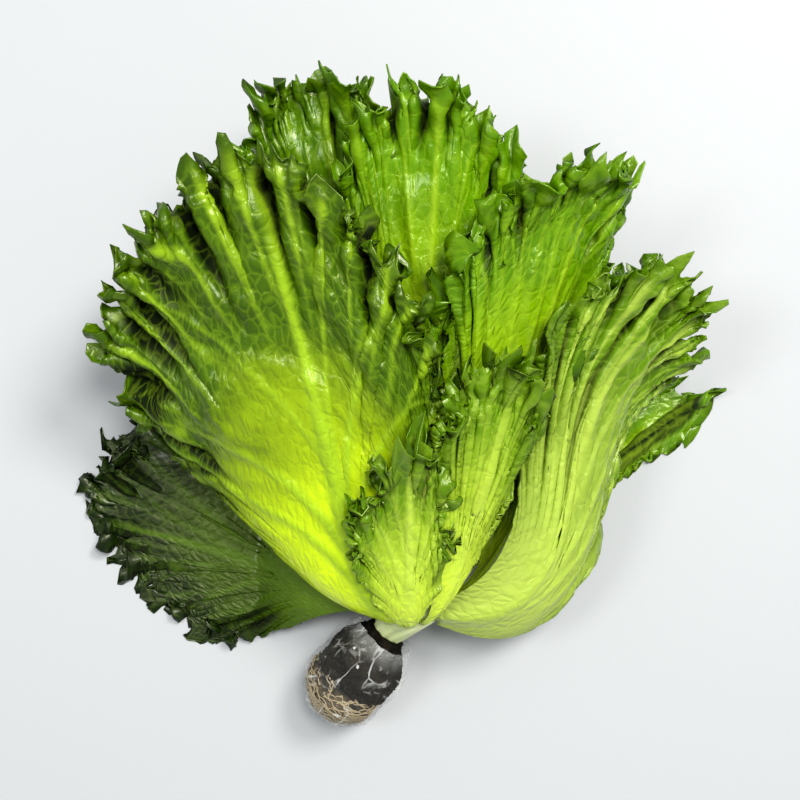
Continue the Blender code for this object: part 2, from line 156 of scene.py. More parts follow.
LEAVES = {
    "leaf_left": dict(turn=-27, wrap=(99, 40), reach=(102, 174, 246, 212, 112), lean=(54, 46, 36, 37, 34),
                      root=94, fall=47, share=0.45, folds=18, height=12, seed=3),
    "leaf_right": dict(turn=62, wrap=(24, 48), reach=(165, 190, 194, 172, 130), lean=(37, 38, 41, 45, 46),
                       root=68, root_rise=43, fall=76, power=2.6, share=0.5, open=1.1, folds=10, height=9,
                       seed=5),
    "leaf_top": dict(turn=9, wrap=(44, 40), reach=(190, 230, 240, 218, 182), lean=(14, 17, 19, 20, 21),
                     root=46, fall=50, folds=10, height=10, seed=7),
    "leaf_slant": dict(turn=44, wrap=(33, 42), reach=(192, 226, 226, 206, 172), lean=(33, 32, 31, 29, 28),
                       root=62, fall=38, folds=10, height=9, seed=11),
    "leaf_top_left": dict(turn=-44, wrap=(46, 46), reach=(192, 230, 240, 230, 190), lean=(21, 17, 13, 12, 13),
                          root=34, fall=50, folds=10, height=10, seed=13),
    "leaf_front": dict(turn=0, wrap=(22, 16), reach=(70, 108, 124, 112, 76), lean=(47, 46, 45, 45, 45),
                       root=104, fall=44, folds=6, height=7, seed=17),
    "leaf_pale": dict(turn=26, wrap=(20, 10), reach=(128, 146, 152, 142, 124), lean=(42, 41, 40, 40, 40),
                      root=97, fall=44, folds=8, height=7, seed=19),
    "leaf_mid_left": dict(turn=-34, wrap=(38, 28), reach=(136, 168, 180, 164, 132), lean=(27, 26, 25, 24, 24),
                          root=58, fall=45, folds=8, height=8, seed=43),
    "leaf_mid_right": dict(turn=24, wrap=(24, 32), reach=(128, 158, 170, 156, 126), lean=(26, 26, 26, 25, 24),
                           root=55, fall=38, folds=8, height=7, seed=47),
    "leaf_far_left": dict(turn=-84, wrap=(40, 34), reach=(168, 192, 202, 198, 172), lean=(36, 34, 32, 31, 30),
                          root=67, fall=45, folds=8, height=9, seed=23),
    "leaf_far_right": dict(turn=94, wrap=(35, 32), reach=(150, 180, 188, 178, 148), lean=(34, 34, 35, 35, 35),
                           root=80, fall=45, folds=8, height=9, seed=29),
    "leaf_under_left": dict(turn=-75, wrap=(27, 25), reach=(108, 136, 180, 184, 168), lean=(31, 31, 31, 31, 31),
                            root=4, fall=45, root_turn=-80, folds=10, height=8, seed=31, laid=True),
    "leaf_under_right": dict(turn=53, wrap=(28, 5), reach=(108, 156, 188, 198, 187), lean=(30, 30, 30, 30, 30),
                             root=12, fall=38, root_turn=98, folds=4, height=7, seed=37, laid=True),
    "leaf_under_mid": dict(turn=172, wrap=(50, 56), reach=(150, 198, 214, 200, 156), lean=(32, 44, 55, 53, 50),
                           root=84, fall=42, folds=12, height=9, seed=41),
}
HEART = dict(turn=240, wrap=(220, 220), reach=(92, 104, 116, 124, 128), lean=(6.0, 7.2, 8.4, 9.5, 10.6),
             root=14, root_rise=16, fall=36, share=1.0, lobes=6, notch=0.08, folds=18, height=1.2, seed=66)
print(len(LEAVES), "broad leaves and the heart")

# %% [markdown]
# ## How crisp each leaf is
# The leaves that lean out flat have deep folds with a fine ruffle over them, and the ones that stand
# close together in the middle have shallow ones. One setting for all would be shorter, but the outer
# leaves are what gives this lettuce away. Each row says how far in the folds run in mm, how strong the
# finer ruffle is, and how strongly ribs follow the folds.

# %% Crispness of the leaves
STYLE = {
    "leaf_left": (27, 1.0, 1.0), "leaf_right": (27, 0.9, 1.0), "leaf_top": (14, 1.2, 0.4),
    "leaf_slant": (14, 1.2, 0.5), "leaf_top_left": (15, 1.2, 0.4), "leaf_front": (12, 1.4, 0.4),
    "leaf_pale": (12, 1.4, 0.4), "leaf_mid_left": (14, 1.4, 0.4), "leaf_mid_right": (14, 1.4, 0.4),
    "leaf_far_left": (20, 1.2, 0.4), "leaf_far_right": (20, 1.2, 0.4), "leaf_under_left": (20, 1.4, 0.5),
    "leaf_under_right": (18, 1.1, 0.5), "leaf_under_mid": (20, 1.0, 0.3),
}
for name, (depth, crisp, crest) in STYLE.items():
    LEAVES[name].update(depth=depth, crisp=crisp, crest=crest)
HEART.update(depth=14, crisp=0.5, crest=0.3)
# Where u is less than this, every fold is gathered tight, and the hollow under it is painted dark as shade.
LEAVES["leaf_left"]["gathered"] = -0.35
LEAVES["leaf_far_left"]["gathered"] = 2
print("folds run in by", sorted({depth for depth, _, _ in STYLE.values()}), "mm")


# %% [markdown]
# ## The leaf before it ruffles
# Without its folds the leaf is a plain bent fan, and it rests on the table where it would go through. A
# subdivided plane with a few bends could give that shape, but then the finish wouldn't know where on
# the leaf it is. A formula of u and v does.

# %% The unruffled leaf
def smooth(x):
    x = np.clip(x, 0.0, 1.0)
    return x * x * (3 - 2 * x)


def blend(values, u):
    """Five values spaced evenly over u = -1..1, joined by a smooth curve."""
    t = (np.clip(u, -1, 1) + 1) * 2
    i = np.minimum(t.astype(int), 3)
    f = t - i
    w = np.array([2 * values[0] - values[1], *values, 2 * values[4] - values[3]], float)
    a, b, c, d = w[i], w[i + 1], w[i + 2], w[i + 3]
    return 0.5 * (2 * b + (c - a) * f + (2 * a - 5 * b + 4 * c - d) * f * f + (3 * b - a - 3 * c + d) * f ** 3)


def press(z):
    """Heights near or under the table come to rest on it."""
    t = np.clip((z - TOUCH + TOUCH_SOFT) / (2 * TOUCH_SOFT), 0, 1)
    return np.where(z > TOUCH + TOUCH_SOFT, z, TOUCH + TOUCH_SOFT * t * t)


def head_place(rho, turn, lean):
    """The point at this distance from the stem top, turn round the head's axis and lean off it."""
    flat = FLAT_FAR + (FLAT_NEAR - FLAT_FAR) * np.exp(-np.maximum(rho - ROOT_RADIUS, 0) / FLAT_FALL)
    x = rho * np.sin(lean) * np.sin(turn)
    y = rho * np.cos(lean)
    z = rho * np.sin(lean) * np.cos(turn) * flat
    yy = y * math.cos(HEAD_TILT) - z * math.sin(HEAD_TILT)
    zz = y * math.sin(HEAD_TILT) + z * math.cos(HEAD_TILT)
    return np.stack([x + STEM_TOP[0], yy + STEM_TOP[1], zz + STEM_TOP[2]], -1)


def reach_of(leaf, u):
    apart = 1 - np.abs(np.sin(leaf.get("lobes", 1) * math.pi * (u + 1) / 2))
    return blend(leaf["reach"], u) * (1 - leaf.get("notch", 0) * apart ** 1.5)


def unruffled(leaf, u, v):
    reach = reach_of(leaf, u) * MM
    rho = ROOT_RADIUS + v * (reach - ROOT_RADIUS)
    share = leaf.get("share", 0.36)
    spread = share + (1 - share) * smooth(v / leaf.get("open", 0.65))
    wrap = np.where(u < 0, leaf["wrap"][0], leaf["wrap"][1])
    turn = np.radians(leaf["turn"] + u * wrap * spread)
    tip = blend(leaf["lean"], u)
    fade = np.exp(-(np.maximum(rho - ROOT_RADIUS, 0) / (leaf["fall"] * MM)) ** leaf.get("power", 1.0))
    root = leaf["root"] + leaf.get("root_rise", 0) * (u + 1) / 2
    lean = np.radians(tip + (root - tip) * fade)
    if leaf.get("laid"):
        turn = turn + np.radians(leaf["root_turn"] - leaf["turn"]) * fade
        x = rho * np.cos(lean) * np.sin(turn)
        y = rho * np.cos(lean) * np.cos(turn)
        z = -rho * np.sin(lean)
        p = np.stack([x + STEM_TOP[0], y + STEM_TOP[1], z + STEM_TOP[2]], -1)
    else:
        p = head_place(rho, turn, lean)
    p[..., 2] = press(p[..., 2])
    return p


TIP = unruffled(LEAVES["leaf_top"], np.zeros(1), np.ones(1))[0]
print("tip of the top leaf:", TIP.round(3))


# %% [markdown]
# ## How the margin ruffles
# The margin of this lettuce grows much faster than the blade behind it, so it has to buckle. Big folds
# run in from the edge for two or three centimetres, smaller ruffles ride on them, and the very edge is
# crimped and toothed. A displacement texture could make bumps, but not lobes that lean over. So each size
# of fold is added along the face of the surface that already has the bigger ones. A place along the
# margin is p, and each whole number of p is the top or the foot of a big fold.

# %% Places along the margin
def sway(x, seed, waves=4):
    """A smooth seeded wander of x within about -1..1."""
    rng = np.random.default_rng(seed)
    total = np.zeros_like(x)
    for k in range(waves):
        rate = 0.23 + 0.31 * k + 0.1 * rng.random()
        total = total + np.sin(rate * x * 2 * math.pi + rng.random() * 2 * math.pi)
    return total / waves ** 0.5 / 1.4


def across(leaf, p):
    """u of a place p along the margin."""
    fine = np.linspace(-1, 1, 801)
    rim = unruffled(leaf, fine, np.ones_like(fine))
    run = np.concatenate([[0], np.cumsum(np.linalg.norm(np.diff(rim, axis=0), axis=1))])
    ends = np.sin(np.clip(p / (2 * leaf["folds"]), 0, 1) * math.pi)
    place = (p + 0.3 * sway(p * 0.5, leaf["seed"]) * smooth(ends * 4)) / (2 * leaf["folds"])
    return np.interp(place * run[-1], run, fine)


print("left leaf, u of its folds:", across(LEAVES["leaf_left"], np.arange(0, 37, 6.0)).round(2))


# %% [markdown]
# ## Directions on a bent sheet
# To ruffle a sheet, each point moves out of its face, and teeth move it on towards the margin. Blender
# knows the normals of a mesh, but these directions are needed while the shape is still only a grid of
# points, so they come from the differences between neighbours. A move is capped by the room there is, so
# that a leaf doesn't go through the next one.

# %% Directions and limits
def unit(a):
    return a / np.maximum(np.linalg.norm(a, axis=-1, keepdims=True), 1e-12)


def grid_normals(q, flip):
    """Directions along the margin, towards the margin and out of the face of a grid of points."""
    along = unit(np.gradient(q, axis=1))
    outward = unit(-np.gradient(q, axis=0))
    out = unit(np.cross(along, outward))
    return along, outward, -out if flip else out


def capped(move, room):
    far = np.linalg.norm(move, axis=-1)
    return move / ((1 + (far / np.maximum(room, 1e-6)) ** 4) ** 0.25)[..., None]


print("a move of 9 mm with room for 5:", capped(np.array([9 * MM, 0, 0]), 5 * MM)[0].round(4))


# %% [markdown]
# ## Chance that stays the same
# No two lobes of a real leaf are alike. Plain random numbers would tear the surface, so each whole number
# gets one seeded value and the places between them are filled in smoothly. Teeth are pointed, so they have
# a form of their own.

# %% Noise and teeth
def wander(x, seed):
    """Smooth noise along x, about -1..1."""
    values = np.random.default_rng(seed).uniform(-1, 1, 512)
    i = np.floor(x).astype(int)
    t = smooth(x - i)
    return values[i % 512] * (1 - t) + values[(i + 1) % 512] * t


def patchy(x, y, seed):
    """Smooth noise over x and y, about -1..1."""
    values = np.random.default_rng(seed).uniform(-1, 1, (64, 64))
    i, j = np.floor(x).astype(int), np.floor(y).astype(int)
    s, t = smooth(x - i), smooth(y - j)
    top = values[i % 64, j % 64] * (1 - s) + values[(i + 1) % 64, j % 64] * s
    low = values[i % 64, (j + 1) % 64] * (1 - s) + values[(i + 1) % 64, (j + 1) % 64] * s
    return top * (1 - t) + low * t


def spikes(x, sharp=1.9):
    """Pointed teeth, one for each whole number of x."""
    return (1 - np.abs(2 * (x - np.floor(x)) - 1)) ** sharp


print("half of a tooth:", spikes(np.linspace(0, 0.5, 5)).round(2))

# %% [markdown]
# ## Where a point lies on its leaf
# The ruffle fades with the distance in from the margin, whether that margin is the rim or a side of the
# leaf. It could be measured from point to point over the mesh, which is slow. The two distances are known
# from u and v, and near a corner they run together softly.

# %% Distance in from the margin
FINE = 16
ROWS = 84
CORNER = 6.0


def margin_place(leaf, u, v, rest):
    """How far each point is in from the margin and from the rim in mm, how much its nearest margin is the
    side, its place p, and how far it is across the leaf from the left side in mm."""
    p_rim = np.linspace(0, 2 * leaf["folds"], u.shape[1])
    top = (1 - v) * (reach_of(leaf, u) - ROOT_RADIUS / MM)
    run = np.cumsum(np.linalg.norm(np.diff(rest, axis=1, prepend=rest[:, :1]), axis=-1), axis=1) / MM
    side = np.minimum(run, run[:, -1:] - run)
    near_top, near_side = np.exp(-top / CORNER), np.exp(-side / CORNER)
    inset = np.maximum(-CORNER * np.log(near_top + near_side), 0)
    fan = u * (1 + 1.2 * (1 - v) ** 1.5)
    beyond = (reach_of(leaf, np.sign(u)) / 13) / 1.2
    p = np.interp(fan, u[0], p_rim) + beyond * (np.maximum(fan - 1, 0) + np.minimum(fan + 1, 0))
    return inset, top, near_side / (near_top + near_side), p, run


def unit_width(p, rest):
    """Distance on the surface over which p grows by 1."""
    a = np.gradient(p, axis=1) / np.maximum(np.linalg.norm(np.gradient(rest, axis=1), axis=-1), 1e-7)
    b = np.gradient(p, axis=0) / np.maximum(np.linalg.norm(np.gradient(rest, axis=0), axis=-1), 1e-7)
    return 1 / np.maximum(np.hypot(a, b), 1e-3)


def sheet_of(leaf, tree, coil_gap):
    """The unruffled grid from margin to root, with each point's place on the leaf and the room it has."""
    places = across(leaf, np.linspace(0, 2 * leaf["folds"], 2 * leaf["folds"] * FINE + 1))
    u, v = np.meshgrid(places, 1 - np.linspace(0, 1, ROWS) ** 1.5)
    rest = unruffled(leaf, u, v)
    gap = np.array([tree.find_nearest(Vector(q))[3] for q in rest.reshape(-1, 3)]).reshape(u.shape)
    if coil_gap:
        gap = np.minimum(gap, coil_gap * np.linalg.norm(rest - np.array(STEM_TOP), axis=-1))
    inset, top, to_side, p, run = margin_place(leaf, u, v, rest)
    body = smooth((v - 0.3) / 0.4) * (1 - 0.5 * to_side)
    return SimpleNamespace(
        leaf=leaf, seed=leaf["seed"] * 100, curl=leaf["crisp"], flip=bool(leaf.get("laid")),
        u=u, v=v, rest=rest, gap=gap, inset=inset, top=top, to_side=to_side, p=p, run=run, body=body,
        fine_body=body * (1 - 0.8 * to_side * smooth((0.9 - v) / 0.3)),
        width=unit_width(p, rest), room=gap * (0.42 + 0.45 * np.exp(-top / 14)))


print("each leaf is a grid of", ROWS, "rows with", 2 * FINE, "points to a fold")


# %% [markdown]
# ## The tree of ribs
# A stout midrib runs up the leaf. Side ribs leave it low down and fork once or twice before they fade
# into the ruffle. A picture of ribs could be laid over the blade, but here they stand out of it, so each
# rib is a path in u and v, and its height at a point comes from the distance to that path.

# %% Ribs
def ribs_of(leaf):
    """Midrib, side ribs and twigs, each with the rib it leaves, where it starts and where it ends."""
    rng = np.random.default_rng(leaf["seed"] + 70)
    mid = leaf.get("mid", 0.0)
    ribs = [dict(parent=None, start=0.0, end=mid, stout=1.0)]
    for side in (-1, 1):
        for far, start, stout in ((0.93, 0.05, 0.42), (0.64, 0.16, 0.5), (0.34, 0.34, 0.42)):
            end = mid + (side - mid) * (far + rng.uniform(-0.05, 0.05))
            ribs.append(dict(parent=0, start=start + rng.uniform(-0.03, 0.03), end=end, stout=stout))
            branch = len(ribs) - 1
            for twig in (-1, 1):
                leaves_at = start + (1 - start) * rng.uniform(0.3, 0.62)
                reaches = end + twig * rng.uniform(0.07, 0.13)
                ribs.append(dict(parent=branch, start=leaves_at, end=reaches, stout=0.2))
    return ribs


def rib_path(ribs, k, v):
    rib = ribs[k]
    if rib["parent"] is None:
        return np.full_like(v, rib["end"])
    t = np.clip((v - rib["start"]) / (1 - rib["start"]), 0, 1) ** 0.9
    return rib_path(ribs, rib["parent"], v) + (rib["end"] - ribs[rib["parent"]]["end"]) * t


def rib_height(s):
    """Height of the ribs over the blade in mm."""
    per_u = np.gradient(s.run, axis=1) / np.maximum(np.gradient(s.u, axis=1), 1e-6)
    ribs = ribs_of(s.leaf)
    height = np.zeros_like(s.u)
    for k, rib in enumerate(ribs):
        wide = rib["stout"] * 5.0 * (1 - s.v) ** 1.3 + 0.55 + 0.5 * rib["stout"]
        off = np.abs(s.u - rib_path(ribs, k, s.v)) * per_u / wide
        starts = smooth((s.v - rib["start"]) / 0.1 + (1 if k == 0 else 0))
        height = np.maximum(height, np.exp(-off ** 2) * starts * 0.42 * wide)
    return height


print("ribs on the left leaf:", len(ribs_of(LEAVES["leaf_left"])))


# %% [markdown]
# ## Big folds
# Between broad, nearly flat ridges the margin drops into narrow valleys, some deep and some hardly there.
# A plain wave would look like corrugated iron, so a valley is a wave raised to a power, with a strength of
# its own, and the ridges lean sideways over it. The margin as a whole rolls up and down more slowly, and
# it bulges into lobes on the ridges.

# %% Folds of the margin
ROLL = 5.0 * MM
WANDER_OF_FOLDS = 0.75


def towards_margin(s, along, outward):
    """Direction to the nearest margin, which is the rim further up and a side low down."""
    return unit(outward * (1 - s.to_side)[..., None] + along * (np.sign(s.u) * s.to_side)[..., None])


def fold_strength(s):
    """Sets where the folds are, how strong each is, how far in it runs and where they are gathered."""
    s.bend = s.p + WANDER_OF_FOLDS * wander(s.p * 0.45 + s.inset / 50, s.seed + 3)
    s.gathered = smooth((s.leaf.get("gathered", -2) - s.u) / 0.2)
    chosen = 0.5 + 0.5 * wander(s.bend * 0.5 + 0.5, s.seed + 20)
    s.chosen = chosen + (1.1 - chosen) * s.gathered
    short = np.sqrt(np.minimum(reach_of(s.leaf, s.u) / max(s.leaf["reach"]), 1))
    s.deep = s.leaf["depth"] * short * (0.5 + 1.1 * s.chosen)


def big_folds(s):
    """The sheet with its big folds and its lobes."""
    along, outward, out = grid_normals(s.rest, s.flip)
    s.away = towards_margin(s, along, outward)
    s.ledge = np.cross(out, s.away) * (-1 if s.flip else 1)
    size = s.leaf["height"] * MM * s.body * (1.0 + 0.5 * wander(s.p * 0.5, s.seed + 1))
    size = size * np.exp(-(s.inset / s.deep) ** 1.8)
    size = size / (1 + (size / np.maximum(0.85 * s.width, 1e-6)) ** 4) ** 0.25
    edge = np.exp(-s.inset / 13)
    valley = (0.5 - 0.5 * np.cos(math.pi * s.bend)) ** (3.6 - 1.0 * edge) * (0.4 + 0.9 * s.chosen)
    lift = (0.3 + 0.4 * edge) - (1.6 + 0.5 * edge) * valley
    tilt = 0.22 * np.sin(2 * math.pi * s.bend) + 0.24 * np.sin(math.pi * s.bend)
    move = out * (size * lift)[..., None]
    move = move - s.ledge * (tilt * s.curl * size * edge)[..., None]
    roll = ROLL * s.curl * s.body * wander(s.p * 0.33, s.seed + 4) * np.exp(-s.inset / 18)
    s.move = move + out * roll[..., None] - s.away * (0.5 * np.abs(roll))[..., None]
    lobes = 3.0 - 8.0 * valley + 5.0 * wander(s.p * 0.5, s.seed + 5)
    lobes = lobes * MM * s.body * np.exp(-s.inset / 12)
    return s.rest + capped(s.move, s.room) + s.away * lobes[..., None]


print("big folds in all:", sum(leaf["folds"] for leaf in LEAVES.values()))


# %% [markdown]
# ## Ruffles and teeth
# On the big folds ride smaller waves, a centimetre or so apart, and the outermost few millimetres are
# crimped again and cut into pointed teeth of two sizes. Teeth could be cut out of the sheet with an alpha
# mask, but a solid edge catches the light as the real one does, so the edge itself is drawn out.

# %% Ruffles and teeth of the margin
RUFFLE = 3.4 * MM
CRIMP = 1.7 * MM
RIM_FREE = 4.5 * MM
BIG_TEETH, SMALL_TEETH = 1.4, 3.6
BIG_TOOTH, SMALL_TOOTH, TOOTH_BACK = 9.5, 3.0, 4.2


def ruffles(s, q):
    """Smaller waves on the big folds."""
    out = grid_normals(q, s.flip)[2]
    spare = np.maximum(s.room - 0.5 * np.linalg.norm(s.move, axis=-1), RIM_FREE * np.exp(-s.top / 20))
    phase = 2.6 * math.pi * (s.p + 0.5 * wander(s.p * 0.8, s.seed + 6))
    phase = phase + 2.2 * patchy(s.p * 1.2, s.inset / 7, s.seed + 17)
    size = RUFFLE * s.curl * (0.4 * s.body + 0.6 * s.fine_body) * np.exp(-(s.inset / 11.0) ** 1.4)
    size = size * (1 + 0.7 * wander(s.p * 1.1, s.seed + 7))
    wave = out * (size * np.cos(phase))[..., None]
    wave = wave - s.ledge * (0.4 * size * np.sin(2 * phase))[..., None]
    return q + capped(wave, spare)


def teeth(s, q):
    """The crimp of the very edge, and its teeth."""
    along, outward, s.out = grid_normals(q, s.flip)
    away = unit(0.65 * s.away + 0.35 * towards_margin(s, along, outward))
    phase = 5.0 * math.pi * (s.p + 0.4 * wander(s.p * 1.6, s.seed + 8)) + s.inset / 3
    size = CRIMP * s.curl * s.fine_body * np.exp(-s.inset / 5.5)
    size = size * (1 + 0.7 * wander(s.p * 2.1, s.seed + 9))
    q = q + s.out * (size * np.cos(phase))[..., None]
    big = spikes(BIG_TEETH * (s.p + 0.6 * wander(s.p * 0.7, s.seed + 10)))
    big = big * (1 + 0.6 * wander(s.p * 1.1, s.seed + 11))
    small = spikes(SMALL_TEETH * (s.p + 0.3 * wander(s.p * 1.4, s.seed + 12)))
    small = small * (1 + 0.5 * wander(s.p * 2.3, s.seed + 13))
    height = (BIG_TOOTH * big + SMALL_TOOTH * small - TOOTH_BACK) * MM
    height = height * s.fine_body * np.exp(-s.inset / 5.0)
    return q + away * height[..., None]


print("big and small teeth from one big fold to the next:", 2 * BIG_TEETH, 2 * SMALL_TEETH)


# %% [markdown]
# ## The crumpled blade
# Behind the ruffle the blade isn't flat either: it puckers between its veins and swells slowly over a few
# centimetres. A bump map would only shade that, and it would vanish along the outline, so it is shaped
# too. The same step notes for the finish how high the ribs stand and how deep in a fold each point is.

# %% Pucker, ribs and pockets
PUCKER = 0.95 * MM
MOST_SWELL = 3.2 * MM


def crumple(s, q):
    """Puckers between the veins and slow swells, and nothing below the table."""
    crinkle = patchy(s.run / 7.0, s.inset / 9.0, s.seed + 14)
    crinkle = crinkle + 0.6 * patchy(s.run / 3.6, s.inset / 4.5, s.seed + 15)
    swell = patchy(s.run / 24.0, s.inset / 30.0, s.seed + 16) * smooth(s.inset / 30)
    swell = swell * np.minimum(0.16 * s.gap, MOST_SWELL)
    height = PUCKER * crinkle * smooth(s.v * 2 - 0.3) * smooth(s.inset / 10)
    height = height + swell * smooth(s.v * 2.5 - 0.5)
    q = q + s.out * height[..., None]
    q[..., 2] = np.maximum(q[..., 2], TOUCH)
    return q


def rib_and_pocket(s):
    """Sets how high the ribs stand over the blade in mm and how deep in a fold each point is."""
    off_top = (s.bend - 2 * np.round(s.bend / 2)) * s.width
    on_top = np.exp(-(off_top / ((1.3 + 1.2 * (1 - s.v)) * MM)) ** 2)
    crest = on_top * s.leaf["crest"] * smooth((s.v - 0.45) / 0.3) * np.exp(-(s.inset / 70) ** 2)
    s.rib = np.maximum(rib_height(s) * np.minimum(s.run[:, -1:] / 75, 1), 0.8 * crest)
    # The pocket mask is where the finish paints shade deep in a fold and makes the leaf duller; gathered folds
    # get twice as much.
    hollow = (0.5 - 0.5 * np.cos(math.pi * s.bend)) ** (2.0 - 0.9 * s.gathered) * (0.4 + 0.9 * s.chosen)
    pocket = hollow * np.exp(-(s.inset / (1.35 * s.deep)) ** 2.2)
    s.pocket = pocket * smooth((s.v - 0.35) / 0.3) * smooth(s.inset / 9) * (1 + s.gathered)


def leaf_surface(leaf, tree, coil_gap=None):
    """Middle surface of a finished leaf as a grid, and what its finish needs to know."""
    s = sheet_of(leaf, tree, coil_gap)
    fold_strength(s)
    q = crumple(s, teeth(s, ruffles(s, big_folds(s))))
    rib_and_pocket(s)
    return q, s


print("puckers up to", PUCKER / MM, "mm and swells up to", MOST_SWELL / MM, "mm")


# %% [markdown]
# ## From points to an object
# Every piece here starts as an array of points and faces. Blender's own primitives could be edited into
# shape, but an array says where each point belongs, and the finish can be told the same. One helper makes
# the object with its faces turned outwards and shaded smooth, and another keeps a number or a vector for
# each point.

# %% Objects from arrays
def new_object(name, points, faces, recalculate=False):
    """A closed body, with its faces turned outwards."""
    mesh = bpy.data.meshes.new(name)
    mesh.from_pydata(points.tolist(), [], faces)
    bm = bmesh.new()
    bm.from_mesh(mesh)
    if recalculate:
        bmesh.ops.recalc_face_normals(bm, faces=bm.faces)
    if bm.calc_volume(signed=True) < 0:
        bmesh.ops.reverse_faces(bm, faces=bm.faces)
    bm.to_mesh(mesh)
    bm.free()
    shade_smooth(mesh)
    obj = bpy.data.objects.new(name, mesh)
    bpy.context.scene.collection.objects.link(obj)
    return obj


def shade_smooth(mesh):
    mesh.polygons.foreach_set("use_smooth", np.ones(len(mesh.polygons), bool))


def note(mesh, key, values):
    """Keeps a number, or a row of three, for each point, for the finish to read."""
    kind, field = ("FLOAT_VECTOR", "vector") if values.ndim == 2 else ("FLOAT", "value")
    layer = mesh.attributes.new(key, kind, "POINT")
    layer.data.foreach_set(field, values.astype(np.float32).ravel())


# %% [markdown]
# ## From a surface to a leaf with a body
# The sheet gets two faces a blade's thickness apart, joined round the edge, so that it is a closed body
# like the real leaf. Solidify would do this too, but only to one thickness, and a real leaf is stout at
# its root, thin at its margin, and has its ribs on the outer face. Attributes tell the finish where it
# is: along the leaf, in from the margin, on a rib, deep in a fold, and on_leaf, its place on the leaf laid
# out flat.

# %% Build a closed leaf
THIN, STOUT = 0.62, 2.4


def thickness(u, v):
    """Half the leaf's thickness."""
    rib = 0.35 + 0.65 * np.exp(-(u / 0.4) ** 2)
    return 0.5 * MM * (THIN + STOUT * (1 - v) ** 1.6 * rib)


def sheet_faces(rows, cols, flip):
    """Faces of both sides of a sheet, and of the edge that joins them."""
    n = rows * cols
    corner = (np.arange(rows - 1)[:, None] * cols + np.arange(cols - 1)[None]).ravel()
    side = np.stack([corner, corner + 1, corner + cols + 1, corner + cols], 1)
    ring = list(range(cols)) + [r * cols + cols - 1 for r in range(1, rows)]
    ring += [(rows - 1) * cols + c for c in range(cols - 2, -1, -1)]
    ring += [r * cols for r in range(rows - 2, 0, -1)]
    ring = np.array(ring)
    after = np.roll(ring, -1)
    edge = np.stack([ring, after, after + n, ring + n], 1)
    if flip:
        side, edge = side[:, ::-1], edge[:, ::-1]
    return np.concatenate([side[:, ::-1], side + n, edge])


def leaf_mesh(name, leaf, tree, coil_gap=None):
    q, s = leaf_surface(leaf, tree, coil_gap)
    rows, cols = q.shape[:2]
    out = grid_normals(q, s.flip)[2]
    half = np.minimum(thickness(s.u, s.v), np.maximum(0.3 * s.gap, 0.2 * MM))
    rib = s.rib * smooth(s.inset / 12)
    outer = q + out * (half + np.minimum(rib * MM, 0.3 * s.gap))[..., None]
    inner = q - out * half[..., None]
    outer[..., 2] = np.maximum(outer[..., 2], 0)
    inner[..., 2] = np.maximum(inner[..., 2], 0)
    points = np.concatenate([outer.reshape(-1, 3), inner.reshape(-1, 3)])
    obj = new_object(name, points, sheet_faces(rows, cols, s.flip).tolist())
    facts = {"along": s.v, "inset": s.inset / 100.0, "rib": np.clip(rib, 0, 1), "pocket": s.pocket}
    for key, values in facts.items():
        note(obj.data, key, np.concatenate([values.ravel()] * 2))
    sideways = (s.run - s.run[:, cols // 2, None]) * MM
    own = np.full_like(sideways, leaf["seed"] * 0.31)
    on_leaf = np.stack([sideways, s.v * max(leaf["reach"]) * MM, own], -1)
    note(obj.data, "on_leaf", np.concatenate([on_leaf.reshape(-1, 3)] * 2))
    return obj


print("a leaf is", THIN, "mm thick at its margin and", THIN + STOUT, "mm at its root")


# %% [markdown]
# ## Room between neighbours
# Leaves in a head press against each other without ever passing through. A cloth simulation could push
# them apart, but it is slow and would undo their places. So each leaf only ruffles as far as its
# neighbours leave it room, and a search tree over their unruffled shapes says how much that is.

# %% Search tree over the other leaves
ACROSS, ALONG = 33, 25


def tree_of(names):
    points, faces = [], []
    for name in names:
        u, v = np.meshgrid(np.linspace(-1, 1, ACROSS), np.linspace(0, 1, ALONG))
        start = len(points)
        points += [tuple(p) for p in unruffled(LEAVES[name], u.ravel(), v.ravel())]
        for j in range(ALONG - 1):
            for i in range(ACROSS - 1):
                a = start + j * ACROSS + i
                faces += [(a, a + 1, a + ACROSS + 1), (a, a + ACROSS + 1, a + ACROSS)]
    return BVHTree.FromPolygons(points, faces)


print("top leaf's tip to the next leaf:",
      round(tree_of([n for n in LEAVES if n != "leaf_top"]).find_nearest(Vector(TIP))[3] / MM, 1), "mm")


# %% [markdown]
# ## Writing a finish as sums
# A shader is maths on what varies over the surface. The nodes could be placed one by one in the editor.
# The small class below lets a finish be written as a Python expression instead: adding two sockets adds
# a Math node. Colours go through Mix nodes, because a Math node would turn them grey.

# %% Sockets that add and multiply
class Value:
    def __init__(self, finish, socket):
        self.finish = finish
        self.socket = socket

    def _math(self, operation, other=None, swap=False):
        pair = (other, self) if swap else (self, other)
        pair = [x for x in pair if x is not None]
        return self.finish.node("ShaderNodeMath", dict(operation=operation), dict(enumerate(pair)))

    def __add__(self, other):
        return self._math("ADD", other)

    __radd__ = __add__

    def __sub__(self, other):
        return self._math("SUBTRACT", other)

    def __rsub__(self, other):
        return self._math("SUBTRACT", other, True)

    def __mul__(self, other):
        return self._math("MULTIPLY", other)

    __rmul__ = __mul__

    def clamp(self):
        return self._math("MAXIMUM", 0.0)._math("MINIMUM", 1.0)


print("a Value knows", sorted(key for key in vars(Value) if callable(getattr(Value, key))))


# %% [markdown]
# ## A material one call at a time
# Each finish below needs the same few things: a noise, a stored attribute, a mix of two colours, a bump.
# They are methods of one class, and any other node comes from its method `node`.

